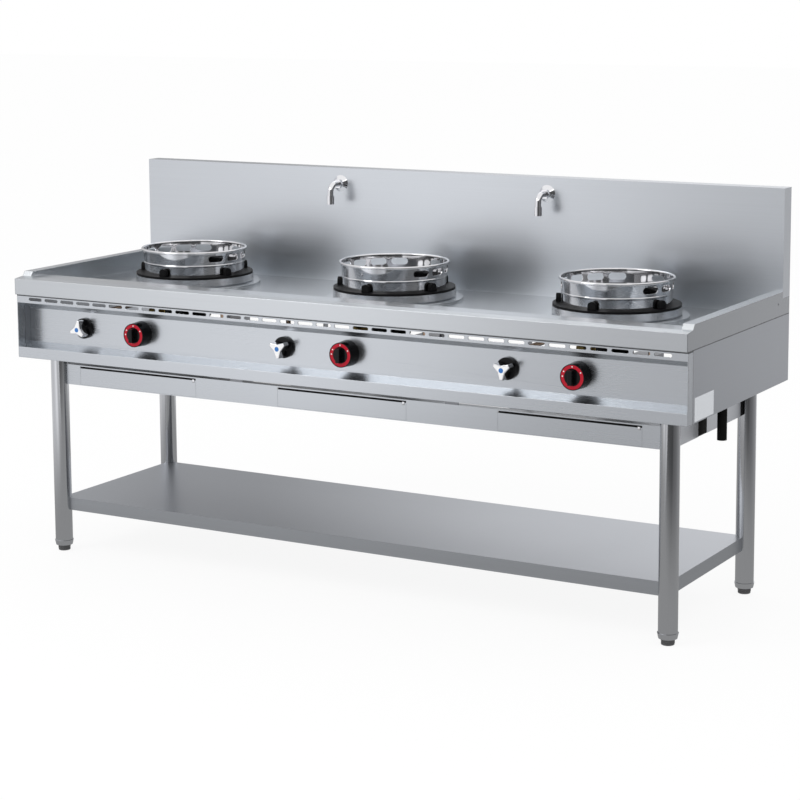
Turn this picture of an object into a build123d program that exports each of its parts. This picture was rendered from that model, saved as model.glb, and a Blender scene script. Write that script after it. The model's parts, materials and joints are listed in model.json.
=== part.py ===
from build123d import *
import math
import os

os.makedirs("parts", exist_ok=True)

# ---------------------------------------------------------------- driving dimensions (mm)
# Frame: origin on the floor below the middle of the range, +X to the right end, +Y to the wall, +Z up.
LENGTH = 2050.0             # overall length of the range along X
DEPTH = 700.0               # front band to the back of the splashback
RIM_Z = 800.0               # top of the worktop's front edge
TOP_Z = 1090.0              # top of the splashback
BODY_Z = 573.5              # underside of the body
BAND_Z = 755.0              # underside of the worktop's front band
SHEET = 2.0                 # stainless sheet of the body
EASE = 0.3                  # clearance between pieces that only lie side by side
OVER = 1.0                  # how far a cut runs past the metal

LEG_R = 25.0                # leg tube, outside
TUBE_WALL = 2.0             # wall of the leg tubes
LEG_END = 80.0              # leg axis from the end of the range
LEG_FRONT = 91.0            # front leg axis from the front face
LEG_REAR = 612.0            # rear leg axis from the front face
FOOT_H = 16.5               # foot below its sleeve
FOOT_R = 19.0
FOOT_PAD_H = 7.0            # round pad under the hexagon of a foot
FOOT_BEVEL = 2.0
SHAFT_FIT = 0.05            # running clearance of a shaft in its bore
SLEEVE_R = 27.0             # end sleeve pressed on the leg tube
SLEEVE_H = 14.5
SLEEVE_TAPER = 3.0
FOOT_TRAVEL = 30.0          # height adjustment of a foot
STUD_R = 8.0                # threaded stem of a foot

SHELF_TOP_Z = 157.0
SHELF_H = 36.5

APRON_TOP_Z = 548.5         # apron channel between the legs
APRON_LOW_Z = 490.5
APRON_FLANGE = 25.0
TRAY_W = 400.0              # drip tray front
TRAY_H = 47.0
TRAY_L = 480.0
TRAY_GAP = 0.5              # side gap of a tray in its slot
TRAY_FINGER = 5.5           # dark gap above a tray front

RAIL_H = 28.5               # frame rails under the body
RAIL_W = 60.0
SIDE_RAIL_W = 40.0
RAIL_WALL = 2.5

END_MARGIN = 355.0          # axis of an outer burner from the end of the range
BURNER_Y = 380.0            # burner axis from the front face
RIM_W = 90.0                # front rim of the worktop, rising to its flat
RIM_SLOPE = 30.0
RIM_RISE = 3.5
CURB_Z = 817.0              # raised side edges
CURB_W = 30.0
CURB_START = 35.0           # where a side edge starts to rise, from the front
CURB_SLOPE = 10.0
BASIN_FRONT_Z = 772.0       # basin floor at the front
BASIN_REAR_Z = 757.0        # and at the splashback
SPLASH_DEPTH = 50.0
BOSS_R = 190.0              # pressed boss round a burner
BOSS_Z = 771.0
BURNER_HOLE_R = 142.0
COLLAR_R = 170.0
COLLAR_TOP_Z = 794.0
COLLAR_HOLE_R = 150.0
COLLAR_BEVEL = 4.0

IRON_R = 168.5              # cast-iron pan ring
IRON_T = 6.0
IRON_HOLE_R = 112.0
LUG_COUNT = 5
LUG_W = 22.0
LUG_T = 12.0
LUG_H = 22.0
LUG_GAP = 1.0               # play of a wok ring among the lugs
WOK_FOOT_R = 143.5          # chrome wok ring: bottom, bead and rolled rim
WOK_BEAD_R = 146.0
WOK_RIM_R = 153.0
WOK_FOOT_Z = 800.3
WOK_BEAD_Z = 829.0
WOK_RIM_Z = 871.0
WOK_WALL = 2.0
CUTOUT_PITCH = 24.0         # degrees between the cut-outs of a wok ring
CUTOUT_W = 47.0
CUTOUT_H = 18.5
WOK_ROLL_R = 4.0            # rolled rim of a wok ring
BEAD_H = 3.0                # half the height of its bead

PANEL_SET = 60.0            # control panel behind the front face
FASCIA_SET = 8.0            # vent strip and lower lip behind the front face
PANEL_TOP_Z = 710.0
PANEL_LOW_Z = 613.0
STRIP_LOW_Z = 731.0
LIP_TOP_Z = 603.7
VENT_COUNT = 35
VENT_END = 42.8             # first vent from the end of the range
VENT_L = 45.8
VENT_H = 8.6
VENT_Z = 742.6
END_CAP = 37.0              # seam between the fascia's end and the side panel

CONTROL_Z = 664.0
KNOB_SHIFT = 42.0           # gas knob, right of its burner
TAP_SHIFT = -155.0          # water tap, left of its burner
KNOB_R = 35.0
KNOB_L = 38.0
KNOB_TAPER = 2.0
KNOB_RIM = 4.0              # rim round the scale ring of a knob
SCALE_W = 9.0               # width of the scale ring
GRIP_W = 13.0               # grip bar across a knob
GRIP_H = 38.0
GRIP_OUT = 15.0
SPINDLE_R = 5.0
TAP_ROSE_R = 29.0
TAP_TIP_R = 26.0
STEM_R = 7.0

SPOUT_DOWN = 45.0           # spout axis below the top of the splashback
SPOUT_REACH = 58.0
SPOUT_DROP = 56.0
PIPE_R = 6.5                # water pipes to the spouts
PIPE_HOLE_R = 7.8           # their holes in the sheets

# ---------------------------------------------------------------- places worked out from them
X0 = -LENGTH / 2
X1 = LENGTH / 2
Y0 = -DEPTH / 2
Y1 = DEPTH / 2
LEG_X = X1 - LEG_END
LEG_YF = Y0 + LEG_FRONT
LEG_YR = Y0 + LEG_REAR
BY = Y0 + BURNER_Y
SPLASH_Y = Y1 - SPLASH_DEPTH
SIDES = {"left": -1, "centre": 0, "right": 1}
BURNER_PITCH = (LENGTH - 2 * END_MARGIN) / 2
BURNER_XS = {name: i * BURNER_PITCH for name, i in SIDES.items()}
VENT_PITCH = (LENGTH - 2 * VENT_END - VENT_L) / (VENT_COUNT - 1)
SPOUT_Z = TOP_Z - SPOUT_DOWN
RAIL_LOW_Z = BODY_Z + SHEET
RAIL_TOP_Z = RAIL_LOW_Z + RAIL_H
PANEL_BACK = Y0 + PANEL_SET + SHEET


def save(piece, name):
    """Label a finished piece and write its STEP file."""
    piece.part.label = name
    export_step(piece.part, f"parts/{name}.step")


def folded(points, wall):
    """Closed outline of a folded sheet: its outside line, with the wall on the line's left."""
    inner = []
    last = len(points) - 1
    for i, (px, py) in enumerate(points):
        normals = []
        for a, b in ((i - 1, i), (i, i + 1)):
            if a < 0 or b > last:
                continue
            dx = points[b][0] - points[a][0]
            dy = points[b][1] - points[a][1]
            run = math.hypot(dx, dy)
            normals.append((-dy / run, dx / run))
        nx = sum(n[0] for n in normals)
        ny = sum(n[1] for n in normals)
        scale = wall * len(normals) / (nx * nx + ny * ny)
        inner.append((px + nx * scale, py + ny * scale))
    return points + inner[::-1]


def block(x_span, y_span, z_span, mode=Mode.ADD):
    """A box between two corners, added to the open part."""
    middle = tuple((a + b) / 2 for a, b in (x_span, y_span, z_span))
    size = [abs(b - a) for a, b in (x_span, y_span, z_span)]
    with Locations(middle):
        Box(*size, mode=mode)


def post(x, y, z_span, radius, mode=Mode.ADD):
    """An upright cylinder between two heights."""
    with Locations((x, y, (z_span[0] + z_span[1]) / 2)):
        Cylinder(radius, abs(z_span[1] - z_span[0]), mode=mode)


def spindle(x, z, y_span, radius, mode=Mode.ADD):
    """A cylinder along Y between two depths."""
    with Locations(Location((x, (y_span[0] + y_span[1]) / 2, z), (90, 0, 0))):
        Cylinder(radius, abs(y_span[1] - y_span[0]), mode=mode)


def along_x(outline, x_span):
    """Extrude a (y, z) outline from one X to another."""
    with BuildSketch(Plane.YZ.offset(x_span[0])) as profile:
        with BuildLine():
            Polyline(*outline, close=True)
        make_face()
    extrude(profile.sketch, amount=x_span[1] - x_span[0])


def along_y(outline, y_span, mode=Mode.ADD):
    """Extrude an (x, z) outline from one Y to another."""
    with BuildSketch(Plane.XZ.offset(-y_span[0])) as profile:
        with BuildLine():
            Polyline(*outline, close=True)
        make_face()
    extrude(profile.sketch, amount=-(y_span[1] - y_span[0]), mode=mode)


def pipe(route, bends, radius):
    """A round pipe along straight runs joined by bends."""
    with BuildLine() as path:
        FilletPolyline(*route, radius=bends)
    with BuildSketch(Plane(path.line @ 0, z_dir=path.line % 0)) as section:
        Circle(radius)
    sweep(section.sketch, path=path.line)


# ---------------------------------------------------------------- legs, feet and shelf
LEG_LOW_Z = FOOT_H + SLEEVE_H
LEG_TOP_Z = BODY_Z - EASE
PLUG_R = LEG_R - TUBE_WALL - EASE
LEGS = {
    "front_left": (-LEG_X, LEG_YF),
    "front_right": (LEG_X, LEG_YF),
    "rear_left": (-LEG_X, LEG_YR),
    "rear_right": (LEG_X, LEG_YR),
}

with BuildPart() as legs:
    for lx, ly in LEGS.values():
        post(lx, ly, (LEG_LOW_Z, LEG_TOP_Z), LEG_R)
        post(lx, ly, (LEG_LOW_Z, LEG_TOP_Z), LEG_R - TUBE_WALL, Mode.SUBTRACT)
save(legs, "legs")

for place, (lx, ly) in LEGS.items():
    with BuildPart() as foot:
        post(lx, ly, (0, FOOT_PAD_H), FOOT_R - FOOT_BEVEL)
        chamfer(foot.edges().group_by(Axis.Z)[0], FOOT_BEVEL / 2)
        with BuildSketch(Plane.XY.offset(FOOT_PAD_H)):
            with Locations((lx, ly)):
                RegularPolygon(FOOT_R, 6)
        extrude(amount=FOOT_H - FOOT_PAD_H - EASE)
        post(lx, ly, (FOOT_PAD_H, LEG_LOW_Z + FOOT_TRAVEL), STUD_R)
    save(foot, f"foot_{place}")

with BuildPart() as sleeves:
    for lx, ly in LEGS.values():
        with BuildSketch(Plane.XY.offset(FOOT_H)):
            with Locations((lx, ly)):
                Circle(SLEEVE_R - SLEEVE_TAPER)
        with BuildSketch(Plane.XY.offset(FOOT_H + SLEEVE_H)):
            with Locations((lx, ly)):
                Circle(SLEEVE_R)
        loft()
        post(lx, ly, (LEG_LOW_Z, LEG_LOW_Z + SLEEVE_H), PLUG_R)
        post(lx, ly, (FOOT_H, LEG_LOW_Z + SLEEVE_H), STUD_R + SHAFT_FIT, Mode.SUBTRACT)
save(sleeves, "foot_sleeves")

with BuildPart() as sockets:
    for lx, ly in LEGS.values():
        block((lx - RAIL_W / 2, lx + RAIL_W / 2), (ly - RAIL_W / 2, ly + RAIL_W / 2), (BODY_Z, RAIL_LOW_Z))
        post(lx, ly, (BODY_Z - RAIL_W, BODY_Z), PLUG_R)
        post(lx, ly, (BODY_Z - RAIL_W, BODY_Z - SHEET), PLUG_R - TUBE_WALL, Mode.SUBTRACT)
save(sockets, "leg_sockets")

SHELF_LOW_Z = SHELF_TOP_Z - SHELF_H
SHELF_HEM = 14.0
with BuildPart() as undershelf:
    block((-LEG_X, LEG_X), (LEG_YF, LEG_YR), (SHELF_LOW_Z, SHELF_TOP_Z))
    block((-LEG_X + SHEET, LEG_X - SHEET), (LEG_YF + SHEET, LEG_YR - SHEET),
          (SHELF_LOW_Z + SHEET, SHELF_TOP_Z - SHEET), Mode.SUBTRACT)
    block((-LEG_X + SHELF_HEM, LEG_X - SHELF_HEM), (LEG_YF + SHELF_HEM, LEG_YR - SHELF_HEM),
          (SHELF_LOW_Z, SHELF_LOW_Z + SHEET), Mode.SUBTRACT)
    for lx, ly in LEGS.values():
        post(lx, ly, (SHELF_LOW_Z, SHELF_TOP_Z), LEG_R + EASE / 2, Mode.SUBTRACT)
save(undershelf, "undershelf")

STIFF_W = 60.0
with BuildPart() as shelf_stiffeners:
    for x in (-LEG_X / 2, 0, LEG_X / 2):
        block((x - STIFF_W / 2, x + STIFF_W / 2), (LEG_YF + SHELF_HEM + EASE, LEG_YR - SHELF_HEM - EASE),
              (SHELF_LOW_Z + SHEET, SHELF_TOP_Z - SHEET))
        block((x - STIFF_W / 2 + SHEET, x + STIFF_W / 2 - SHEET), (LEG_YF, LEG_YR),
              (SHELF_LOW_Z, SHELF_TOP_Z - 2 * SHEET), Mode.SUBTRACT)
save(shelf_stiffeners, "shelf_stiffeners")

# ---------------------------------------------------------------- apron channel and drip trays
APRON_END = LEG_X - LEG_R - EASE
SLOT_LOW_Z = APRON_LOW_Z + SHEET + EASE
SLOT_TOP_Z = SLOT_LOW_Z + TRAY_H + TRAY_FINGER


def apron_outline(face, inward):
    """(y, z) outline of an apron: upright face with a flange turned inwards at the top."""
    line = [(face, APRON_LOW_Z), (face, APRON_TOP_Z), (face + inward * APRON_FLANGE, APRON_TOP_Z)]
    return folded(line, SHEET * -inward)


with BuildPart() as apron_front:
    along_x(apron_outline(LEG_YF, 1), (-APRON_END, APRON_END))
    for bx in BURNER_XS.values():
        slot_x = (bx - TRAY_W / 2 - TRAY_GAP, bx + TRAY_W / 2 + TRAY_GAP)
        block(slot_x, (LEG_YF - OVER, LEG_YF + SHEET + OVER), (SLOT_LOW_Z, SLOT_TOP_Z), Mode.SUBTRACT)
save(apron_front, "apron_front")

with BuildPart() as apron_rear:
    along_x(apron_outline(LEG_YR, -1), (-APRON_END, APRON_END))
save(apron_rear, "apron_rear")

NOTCH_W = 57.0
NOTCH_FRONT = 272.0         # notches in the right apron, from the front face
NOTCH_REAR = 563.0
APRON_SIDE = (LEG_YF + LEG_R + EASE, LEG_YR - LEG_R - EASE)
with BuildPart() as apron_sides:
    for sign in (-1, 1):
        face = sign * LEG_X
        line = [(face, APRON_LOW_Z), (face, APRON_TOP_Z), (face - sign * APRON_FLANGE, APRON_TOP_Z)]
        along_y(folded(line, SHEET * sign), APRON_SIDE)
    for notch_start in (NOTCH_FRONT, NOTCH_REAR):
        block((LEG_X - SHEET - OVER, LEG_X + OVER), (Y0 + notch_start, Y0 + notch_start + NOTCH_W),
              (APRON_LOW_Z - OVER, APRON_TOP_Z - SHEET), Mode.SUBTRACT)
save(apron_sides, "apron_sides")

RUNNER_LEG = 20.0
RUNNER_H = 34.0
TRAY_LOW_Z = SLOT_LOW_Z + EASE
RUNNER_SPAN = (LEG_YF + SHEET, LEG_YR - SHEET)
with BuildPart() as tray_runners:
    for bx in BURNER_XS.values():
        for hand in (-1, 1):
            wall = bx + hand * (TRAY_W / 2 + TRAY_GAP + SHEET)
            line = [(wall, SLOT_LOW_Z + RUNNER_H), (wall, SLOT_LOW_Z - SHEET),
                    (wall - hand * RUNNER_LEG, SLOT_LOW_Z - SHEET)]
            along_y(folded(line, SHEET * -hand), RUNNER_SPAN)
save(tray_runners, "tray_runners")

for name, bx in BURNER_XS.items():
    with BuildPart() as tray:
        x_out = (bx - TRAY_W / 2, bx + TRAY_W / 2)
        y_out = (LEG_YF, LEG_YF + TRAY_L)
        block(x_out, y_out, (TRAY_LOW_Z, TRAY_LOW_Z + TRAY_H - EASE))
        block((x_out[0] + SHEET, x_out[1] - SHEET), (y_out[0] + SHEET, y_out[1] - SHEET),
              (TRAY_LOW_Z + SHEET, TRAY_LOW_Z + TRAY_H), Mode.SUBTRACT)
    save(tray, f"drip_tray_{name}")

# ---------------------------------------------------------------- frame under the body
with BuildPart() as frame_front:
    block((X0 + SHEET + EASE, X1 - SHEET - EASE), (LEG_YF - RAIL_W / 2, LEG_YF + RAIL_W / 2),
          (RAIL_LOW_Z, RAIL_TOP_Z))
    block((X0, X1), (LEG_YF - RAIL_W / 2 + RAIL_WALL, LEG_YF + RAIL_W / 2 - RAIL_WALL),
          (RAIL_LOW_Z + RAIL_WALL, RAIL_TOP_Z - RAIL_WALL), Mode.SUBTRACT)
save(frame_front, "frame_front")

with BuildPart() as frame_rear:
    block((X0 + SHEET + EASE, X1 - SHEET - EASE), (LEG_YR - RAIL_W / 2, LEG_YR + RAIL_W / 2),
          (RAIL_LOW_Z, RAIL_TOP_Z))
    block((X0, X1), (LEG_YR - RAIL_W / 2 + RAIL_WALL, LEG_YR + RAIL_W / 2 - RAIL_WALL),
          (RAIL_LOW_Z + RAIL_WALL, RAIL_TOP_Z - RAIL_WALL), Mode.SUBTRACT)
save(frame_rear, "frame_rear")

SIDE_RAIL_SPAN = (LEG_YF + RAIL_W / 2, LEG_YR - RAIL_W / 2)
with BuildPart() as frame_sides:
    for lx in (-LEG_X, LEG_X):
        block((lx - SIDE_RAIL_W / 2, lx + SIDE_RAIL_W / 2), SIDE_RAIL_SPAN, (RAIL_LOW_Z, RAIL_TOP_Z))
        block((lx - SIDE_RAIL_W / 2 + RAIL_WALL, lx + SIDE_RAIL_W / 2 - RAIL_WALL), SIDE_RAIL_SPAN,
              (RAIL_LOW_Z + RAIL_WALL, RAIL_TOP_Z - RAIL_WALL), Mode.SUBTRACT)
save(frame_sides, "frame_sides")

# Hangers join the apron's top flange to the frame rails above it.
HANGER_W = 40.0
with BuildPart() as apron_hangers:
    for hx in (-BURNER_PITCH / 2, BURNER_PITCH / 2):
        for face, inward in ((LEG_YF, 1), (LEG_YR, -1)):
            ends = sorted((face + inward * SHEET, face + inward * (2 * SHEET)))
            block((hx - HANGER_W / 2, hx + HANGER_W / 2), ends, (APRON_TOP_Z, RAIL_LOW_Z))
save(apron_hangers, "apron_hangers")

# ---------------------------------------------------------------- worktop
BASIN_FRONT_Y = Y0 + RIM_W
BAND_RETURN = 20.0
HEM = 15.0                  # inward returns of the side panels
REAR_BAND_Z = 715.0
MAIN_LINE = [
    (Y0 + BAND_RETURN, BAND_Z),
    (Y0, BAND_Z),
    (Y0, RIM_Z),
    (Y0 + RIM_SLOPE, RIM_Z + RIM_RISE),
    (BASIN_FRONT_Y, RIM_Z + RIM_RISE),
    (BASIN_FRONT_Y, BASIN_FRONT_Z),
    (SPLASH_Y, BASIN_REAR_Z),
    (Y1, BASIN_REAR_Z),
    (Y1, REAR_BAND_Z),
]
SIDE_LINE = [
    (Y0, BAND_Z),
    (Y0, RIM_Z),
    (Y0 + RIM_SLOPE, RIM_Z + RIM_RISE),
    (Y0 + CURB_START, RIM_Z + RIM_RISE),
    (Y0 + CURB_START + CURB_SLOPE, CURB_Z),
    (SPLASH_Y, CURB_Z),
    (SPLASH_Y, RIM_Z),
    (Y1, RIM_Z),
    (Y1, BAND_Z),
]
CURB_TOP_LINE = [
    (Y0 + CURB_START, RIM_Z + RIM_RISE - SHEET),
    (Y0 + CURB_START, RIM_Z + RIM_RISE),
    (Y0 + CURB_START + CURB_SLOPE, CURB_Z),
    (SPLASH_Y, CURB_Z),
    (SPLASH_Y, CURB_Z - SHEET),
    (Y0 + CURB_START + CURB_SLOPE + SHEET / 2, CURB_Z - SHEET),
    (Y0 + CURB_START + SHEET / 2, RIM_Z + RIM_RISE - SHEET),
]
CURB_WALL_LINE = [
    (Y0 + CURB_START, RIM_Z + RIM_RISE - SHEET),
    (Y0 + CURB_START, RIM_Z + RIM_RISE),
    (Y0 + CURB_START + CURB_SLOPE, CURB_Z),
    (SPLASH_Y, CURB_Z),
    (SPLASH_Y, BASIN_REAR_Z - SHEET / 2),
    (BASIN_FRONT_Y, BASIN_FRONT_Z - SHEET / 2),
    (BASIN_FRONT_Y, RIM_Z + RIM_RISE - SHEET),
]
WASTE_END = 45.0            # basin waste from the right end and from the front face
WASTE_FRONT = 345.0
WASTE_R = 12.5
WASTE_WALL = 2.0
WASTE_X = X1 - WASTE_END
WASTE_Y = Y0 + WASTE_FRONT
RINSE_X = TAP_SHIFT
RINSE_Z = 790.0
RINSE_R = 4.5
SPOUTS = {"left": -BURNER_PITCH / 2, "right": BURNER_PITCH / 2}
RISER_Y = Y1 - SPLASH_DEPTH / 2

with BuildPart() as worktop:
    along_x(folded(MAIN_LINE, -SHEET), (X0 + SHEET / 2, X1 - SHEET / 2))
    for sign in (-1, 1):
        outer = sign * X1
        curb_in = sign * (X1 - CURB_W)
        along_x(SIDE_LINE, (outer, outer - sign * SHEET))
        along_x(CURB_TOP_LINE, (outer, curb_in))
        along_x(CURB_WALL_LINE, (curb_in, curb_in + sign * SHEET))
    for bx in BURNER_XS.values():
        post(bx, BY, (BASIN_REAR_Z, BOSS_Z), BOSS_R)
        post(bx, BY, (BASIN_REAR_Z - 2 * SHEET, BOSS_Z - SHEET), BOSS_R - SHEET, Mode.SUBTRACT)
        post(bx, BY, (BASIN_REAR_Z - SHEET, BOSS_Z + OVER), BURNER_HOLE_R, Mode.SUBTRACT)
    for sign in (-1, 1):
        block((sign * X1, sign * (X1 - HEM - EASE)), (SPLASH_Y, Y1), (REAR_BAND_Z - OVER, BAND_Z),
              Mode.SUBTRACT)
    post(WASTE_X, WASTE_Y, (BASIN_REAR_Z - SHEET, BASIN_FRONT_Z), WASTE_R + EASE, Mode.SUBTRACT)
    spindle(RINSE_X, RINSE_Z, (BASIN_FRONT_Y - 2 * SHEET, BASIN_FRONT_Y + SHEET), RINSE_R + EASE,
            Mode.SUBTRACT)
    for sx in SPOUTS.values():
        post(sx, RISER_Y, (BASIN_REAR_Z - 2 * SHEET, BASIN_REAR_Z + OVER), PIPE_HOLE_R, Mode.SUBTRACT)
save(worktop, "worktop")

# ---------------------------------------------------------------- splashback
with BuildPart() as splashback:
    block((X0, X1), (SPLASH_Y, Y1 - SHEET - EASE), (RIM_Z, TOP_Z))
    block((X0 + SHEET + EASE, X1 - SHEET - EASE), (SPLASH_Y, SPLASH_Y + SHEET), (BASIN_REAR_Z, RIM_Z))
    block((X0 + SHEET, X1 - SHEET), (SPLASH_Y + SHEET, Y1), (RIM_Z - OVER, TOP_Z - SHEET), Mode.SUBTRACT)
    for sx in SPOUTS.values():
        spindle(sx, SPOUT_Z, (SPLASH_Y - OVER, SPLASH_Y + SHEET + OVER), PIPE_HOLE_R, Mode.SUBTRACT)
save(splashback, "splashback")

with BuildPart() as splashback_rear:
    block((X0, X1), (Y1 - SHEET, Y1), (RIM_Z + EASE, TOP_Z))
    block((X0 + SHEET + EASE, X1 - SHEET - EASE), (Y1 - SHEET, Y1), (BASIN_REAR_Z + EASE, RIM_Z + EASE))
save(splashback_rear, "splashback_rear")

# ---------------------------------------------------------------- fascia and side panels
LIP_FLANGE_Y = LEG_YF - RAIL_W / 2
FASCIA_Y = Y0 + FASCIA_SET
PANEL_Y = Y0 + PANEL_SET
FASCIA_LINE = [
    (Y0 + BAND_RETURN, BAND_Z - EASE),
    (FASCIA_Y, BAND_Z - EASE),
    (FASCIA_Y, STRIP_LOW_Z),
    (PANEL_Y, PANEL_TOP_Z),
    (PANEL_Y, PANEL_LOW_Z),
    (FASCIA_Y, LIP_TOP_Z),
    (FASCIA_Y, BODY_Z),
    (LIP_FLANGE_Y, BODY_Z),
    (LIP_FLANGE_Y, RAIL_TOP_Z),
]
END_LINE = [
    (FASCIA_Y, BAND_Z - EASE),
    (FASCIA_Y, BODY_Z),
    (Y0 + END_CAP, BODY_Z),
    (Y0 + END_CAP, BAND_Z - EASE),
]
KNOB_XS = {name: bx + KNOB_SHIFT for name, bx in BURNER_XS.items()}
TAP_XS = {name: bx + TAP_SHIFT for name, bx in BURNER_XS.items()}

with BuildPart() as fascia:
    along_x(folded(FASCIA_LINE, SHEET), (X0 + SHEET / 2, X1 - SHEET / 2))
    for sign in (-1, 1):
        block((sign * X1, sign * (X1 - SHEET - EASE)), (Y0 + END_CAP, PANEL_BACK + OVER), (BODY_Z, BAND_Z),
              Mode.SUBTRACT)
        along_x(END_LINE, (sign * X1, sign * (X1 - SHEET)))
    with BuildSketch(Plane.XZ.offset(-FASCIA_Y + OVER)):
        with Locations((0, VENT_Z)):
            with GridLocations(VENT_PITCH, VENT_H, VENT_COUNT, 1):
                SlotOverall(VENT_L, VENT_H)
    extrude(amount=-(SHEET + 2 * OVER), mode=Mode.SUBTRACT)
    for kx in KNOB_XS.values():
        spindle(kx, CONTROL_Z, (PANEL_Y - OVER, PANEL_BACK + OVER), SPINDLE_R + EASE, Mode.SUBTRACT)
    for tx in TAP_XS.values():
        spindle(tx, CONTROL_Z, (PANEL_Y - OVER, PANEL_BACK + OVER), STEM_R + EASE, Mode.SUBTRACT)
save(fascia, "fascia")

PLATE_T = 0.6
PLATE_W = 122.0
PLATE_H = 59.5
PLATE_FRONT = 50.0          # plate from the front face and from the underside
PLATE_UP = 3.0
PLATE_X = (X1 - PLATE_T, X1)
PLATE_Y = (Y0 + PLATE_FRONT, Y0 + PLATE_FRONT + PLATE_W)
PLATE_Z = (BODY_Z + PLATE_UP, BODY_Z + PLATE_UP + PLATE_H)
for side, sign in (("left", -1), ("right", 1)):
    outer = sign * X1
    with BuildPart() as side_panel:
        block((outer, outer - sign * SHEET), (Y0 + END_CAP + EASE, Y1), (BODY_Z, BAND_Z - EASE))
        block((outer, outer - sign * HEM), (LEG_YF + RAIL_W / 2 + EASE, Y1), (BODY_Z, BODY_Z + SHEET))
        block((outer, outer - sign * HEM), (Y1 - SHEET, Y1), (BODY_Z, REAR_BAND_Z - EASE))
        if sign > 0:
            block(PLATE_X, PLATE_Y, PLATE_Z, Mode.SUBTRACT)
    save(side_panel, f"side_panel_{side}")

with BuildPart() as plate:
    block(PLATE_X, PLATE_Y, PLATE_Z)
save(plate, "blank_data_plate")

# Cross ribs under the basin, between the burners and at the ends, from the front rim to the rear band.
RIB_T = 3.0
RIB_SHIFT = 30.0            # ribs stand beside the risers of the spouts
RIB_XS = (-BURNER_PITCH / 2 - RIB_SHIFT, BURNER_PITCH / 2 - RIB_SHIFT)
RIB_LOW_Z = 725.0
RIB_LINE = [
    (BASIN_FRONT_Y + SHEET, RIB_LOW_Z),
    (BASIN_FRONT_Y + SHEET, BASIN_FRONT_Z - SHEET - EASE),
    (SPLASH_Y, BASIN_REAR_Z - SHEET - EASE),
    (SPLASH_Y, RIB_LOW_Z),
]
with BuildPart() as worktop_ribs:
    for rx in RIB_XS:
        along_x(RIB_LINE, (rx - RIB_T / 2, rx + RIB_T / 2))
save(worktop_ribs, "worktop_ribs")

# Upright posts carry the ribs on the frame; the front ones pass between the two manifolds.
MANIFOLD_R = 13.5
MANIFOLD_FRONT = 130.0      # gas manifold from the front face
MANIFOLD_Y = Y0 + MANIFOLD_FRONT
MANIFOLD_Z = 652.0
WATER_BEHIND = 18.0         # water manifold behind the control panel
WATER_Y = PANEL_BACK + WATER_BEHIND
WATER_Z = 622.0
WATER_R = 10.0
POST_W = 22.0
POST_YS = ((WATER_Y + WATER_R + MANIFOLD_Y - MANIFOLD_R) / 2, LEG_YR)
with BuildPart() as body_posts:
    for rx in RIB_XS:
        for ry in POST_YS:
            face = rx - RIB_T / 2 - EASE
            block((face - RIB_T, face), (ry - POST_W / 2, ry + POST_W / 2),
                  (RAIL_TOP_Z, BASIN_REAR_Z - 2 * SHEET))
save(body_posts, "body_posts")

# ---------------------------------------------------------------- burners, collars and rings
CRADLE_W = 70.0
CRADLE_H = 30.0
CRADLE_T = 3.0
CRADLE_SET = 98.0           # front end of a cradle from the front face
PEDESTAL_R = 25.0
PEDESTAL_H = 34.0
BASE_R = 45.0
BOWL_R = 85.0
BOWL_LIP = 12.0             # upright edge of the burner's bowl
BOWL_Z = 752.0
CAP_R = 62.0
CAP_Z = 782.0
CAP_STEP = 6.0
CAP_DOME_W = 14.0           # slope round the flat of the cap
CAP_DOME_H = 8.0
EYE_R = 16.0                # middle recess of the cap
EYE_DEPTH = 8.0
VENTURI_RISE = 37.0         # mixing tube above the burner's base
VENTURI_R = 19.0
VENTURI_WALL = 4.0
VENTURI_BORE = 120.0        # open length of the mixing tube
MOUTH_R = 27.0
MOUTH_SET = 192.0           # air mouth from the front face
MOUTH_L = 25.0
INJECTOR_R = 9.0
PORT_COUNT = 16
PORT_R = 3.0
PORT_DEPTH = 6.0
BASE_LOW_Z = RAIL_TOP_Z + CRADLE_H + PEDESTAL_H
VENTURI_Z = BASE_LOW_Z + VENTURI_RISE
MOUTH_Y = Y0 + MOUTH_SET

ROLL_AT_R = WOK_RIM_R - WOK_ROLL_R - WOK_WALL / 2
ROLL_AT_Z = WOK_RIM_Z - WOK_ROLL_R - WOK_WALL / 2
CUTOUT_Z = (WOK_BEAD_Z + WOK_RIM_Z - WOK_WALL) / 2
CUTOUT_STEPS = [step for step in range(-5, 6) if step]

with BuildPart() as collars:
    for bx in BURNER_XS.values():
        with BuildSketch(Plane.XZ.offset(-BY)):
            with BuildLine():
                Polyline((bx + COLLAR_HOLE_R, BOSS_Z), (bx + COLLAR_R - COLLAR_BEVEL, BOSS_Z),
                         (bx + COLLAR_R, BOSS_Z + COLLAR_BEVEL), (bx + COLLAR_R, COLLAR_TOP_Z),
                         (bx + COLLAR_HOLE_R, COLLAR_TOP_Z), close=True)
            make_face()
        revolve(axis=Axis((bx, BY, 0), (0, 0, 1)))
save(collars, "burner_collars")


def facing_out(bx, z, degrees, reach=0.0):
    """A plane that faces away from a burner's axis, its y upwards."""
    turn = math.radians(degrees)
    out = (math.cos(turn), math.sin(turn), 0)
    return Plane(origin=(bx + reach * out[0], BY + reach * out[1], z), x_dir=(-out[1], out[0], 0), z_dir=out)


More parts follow.
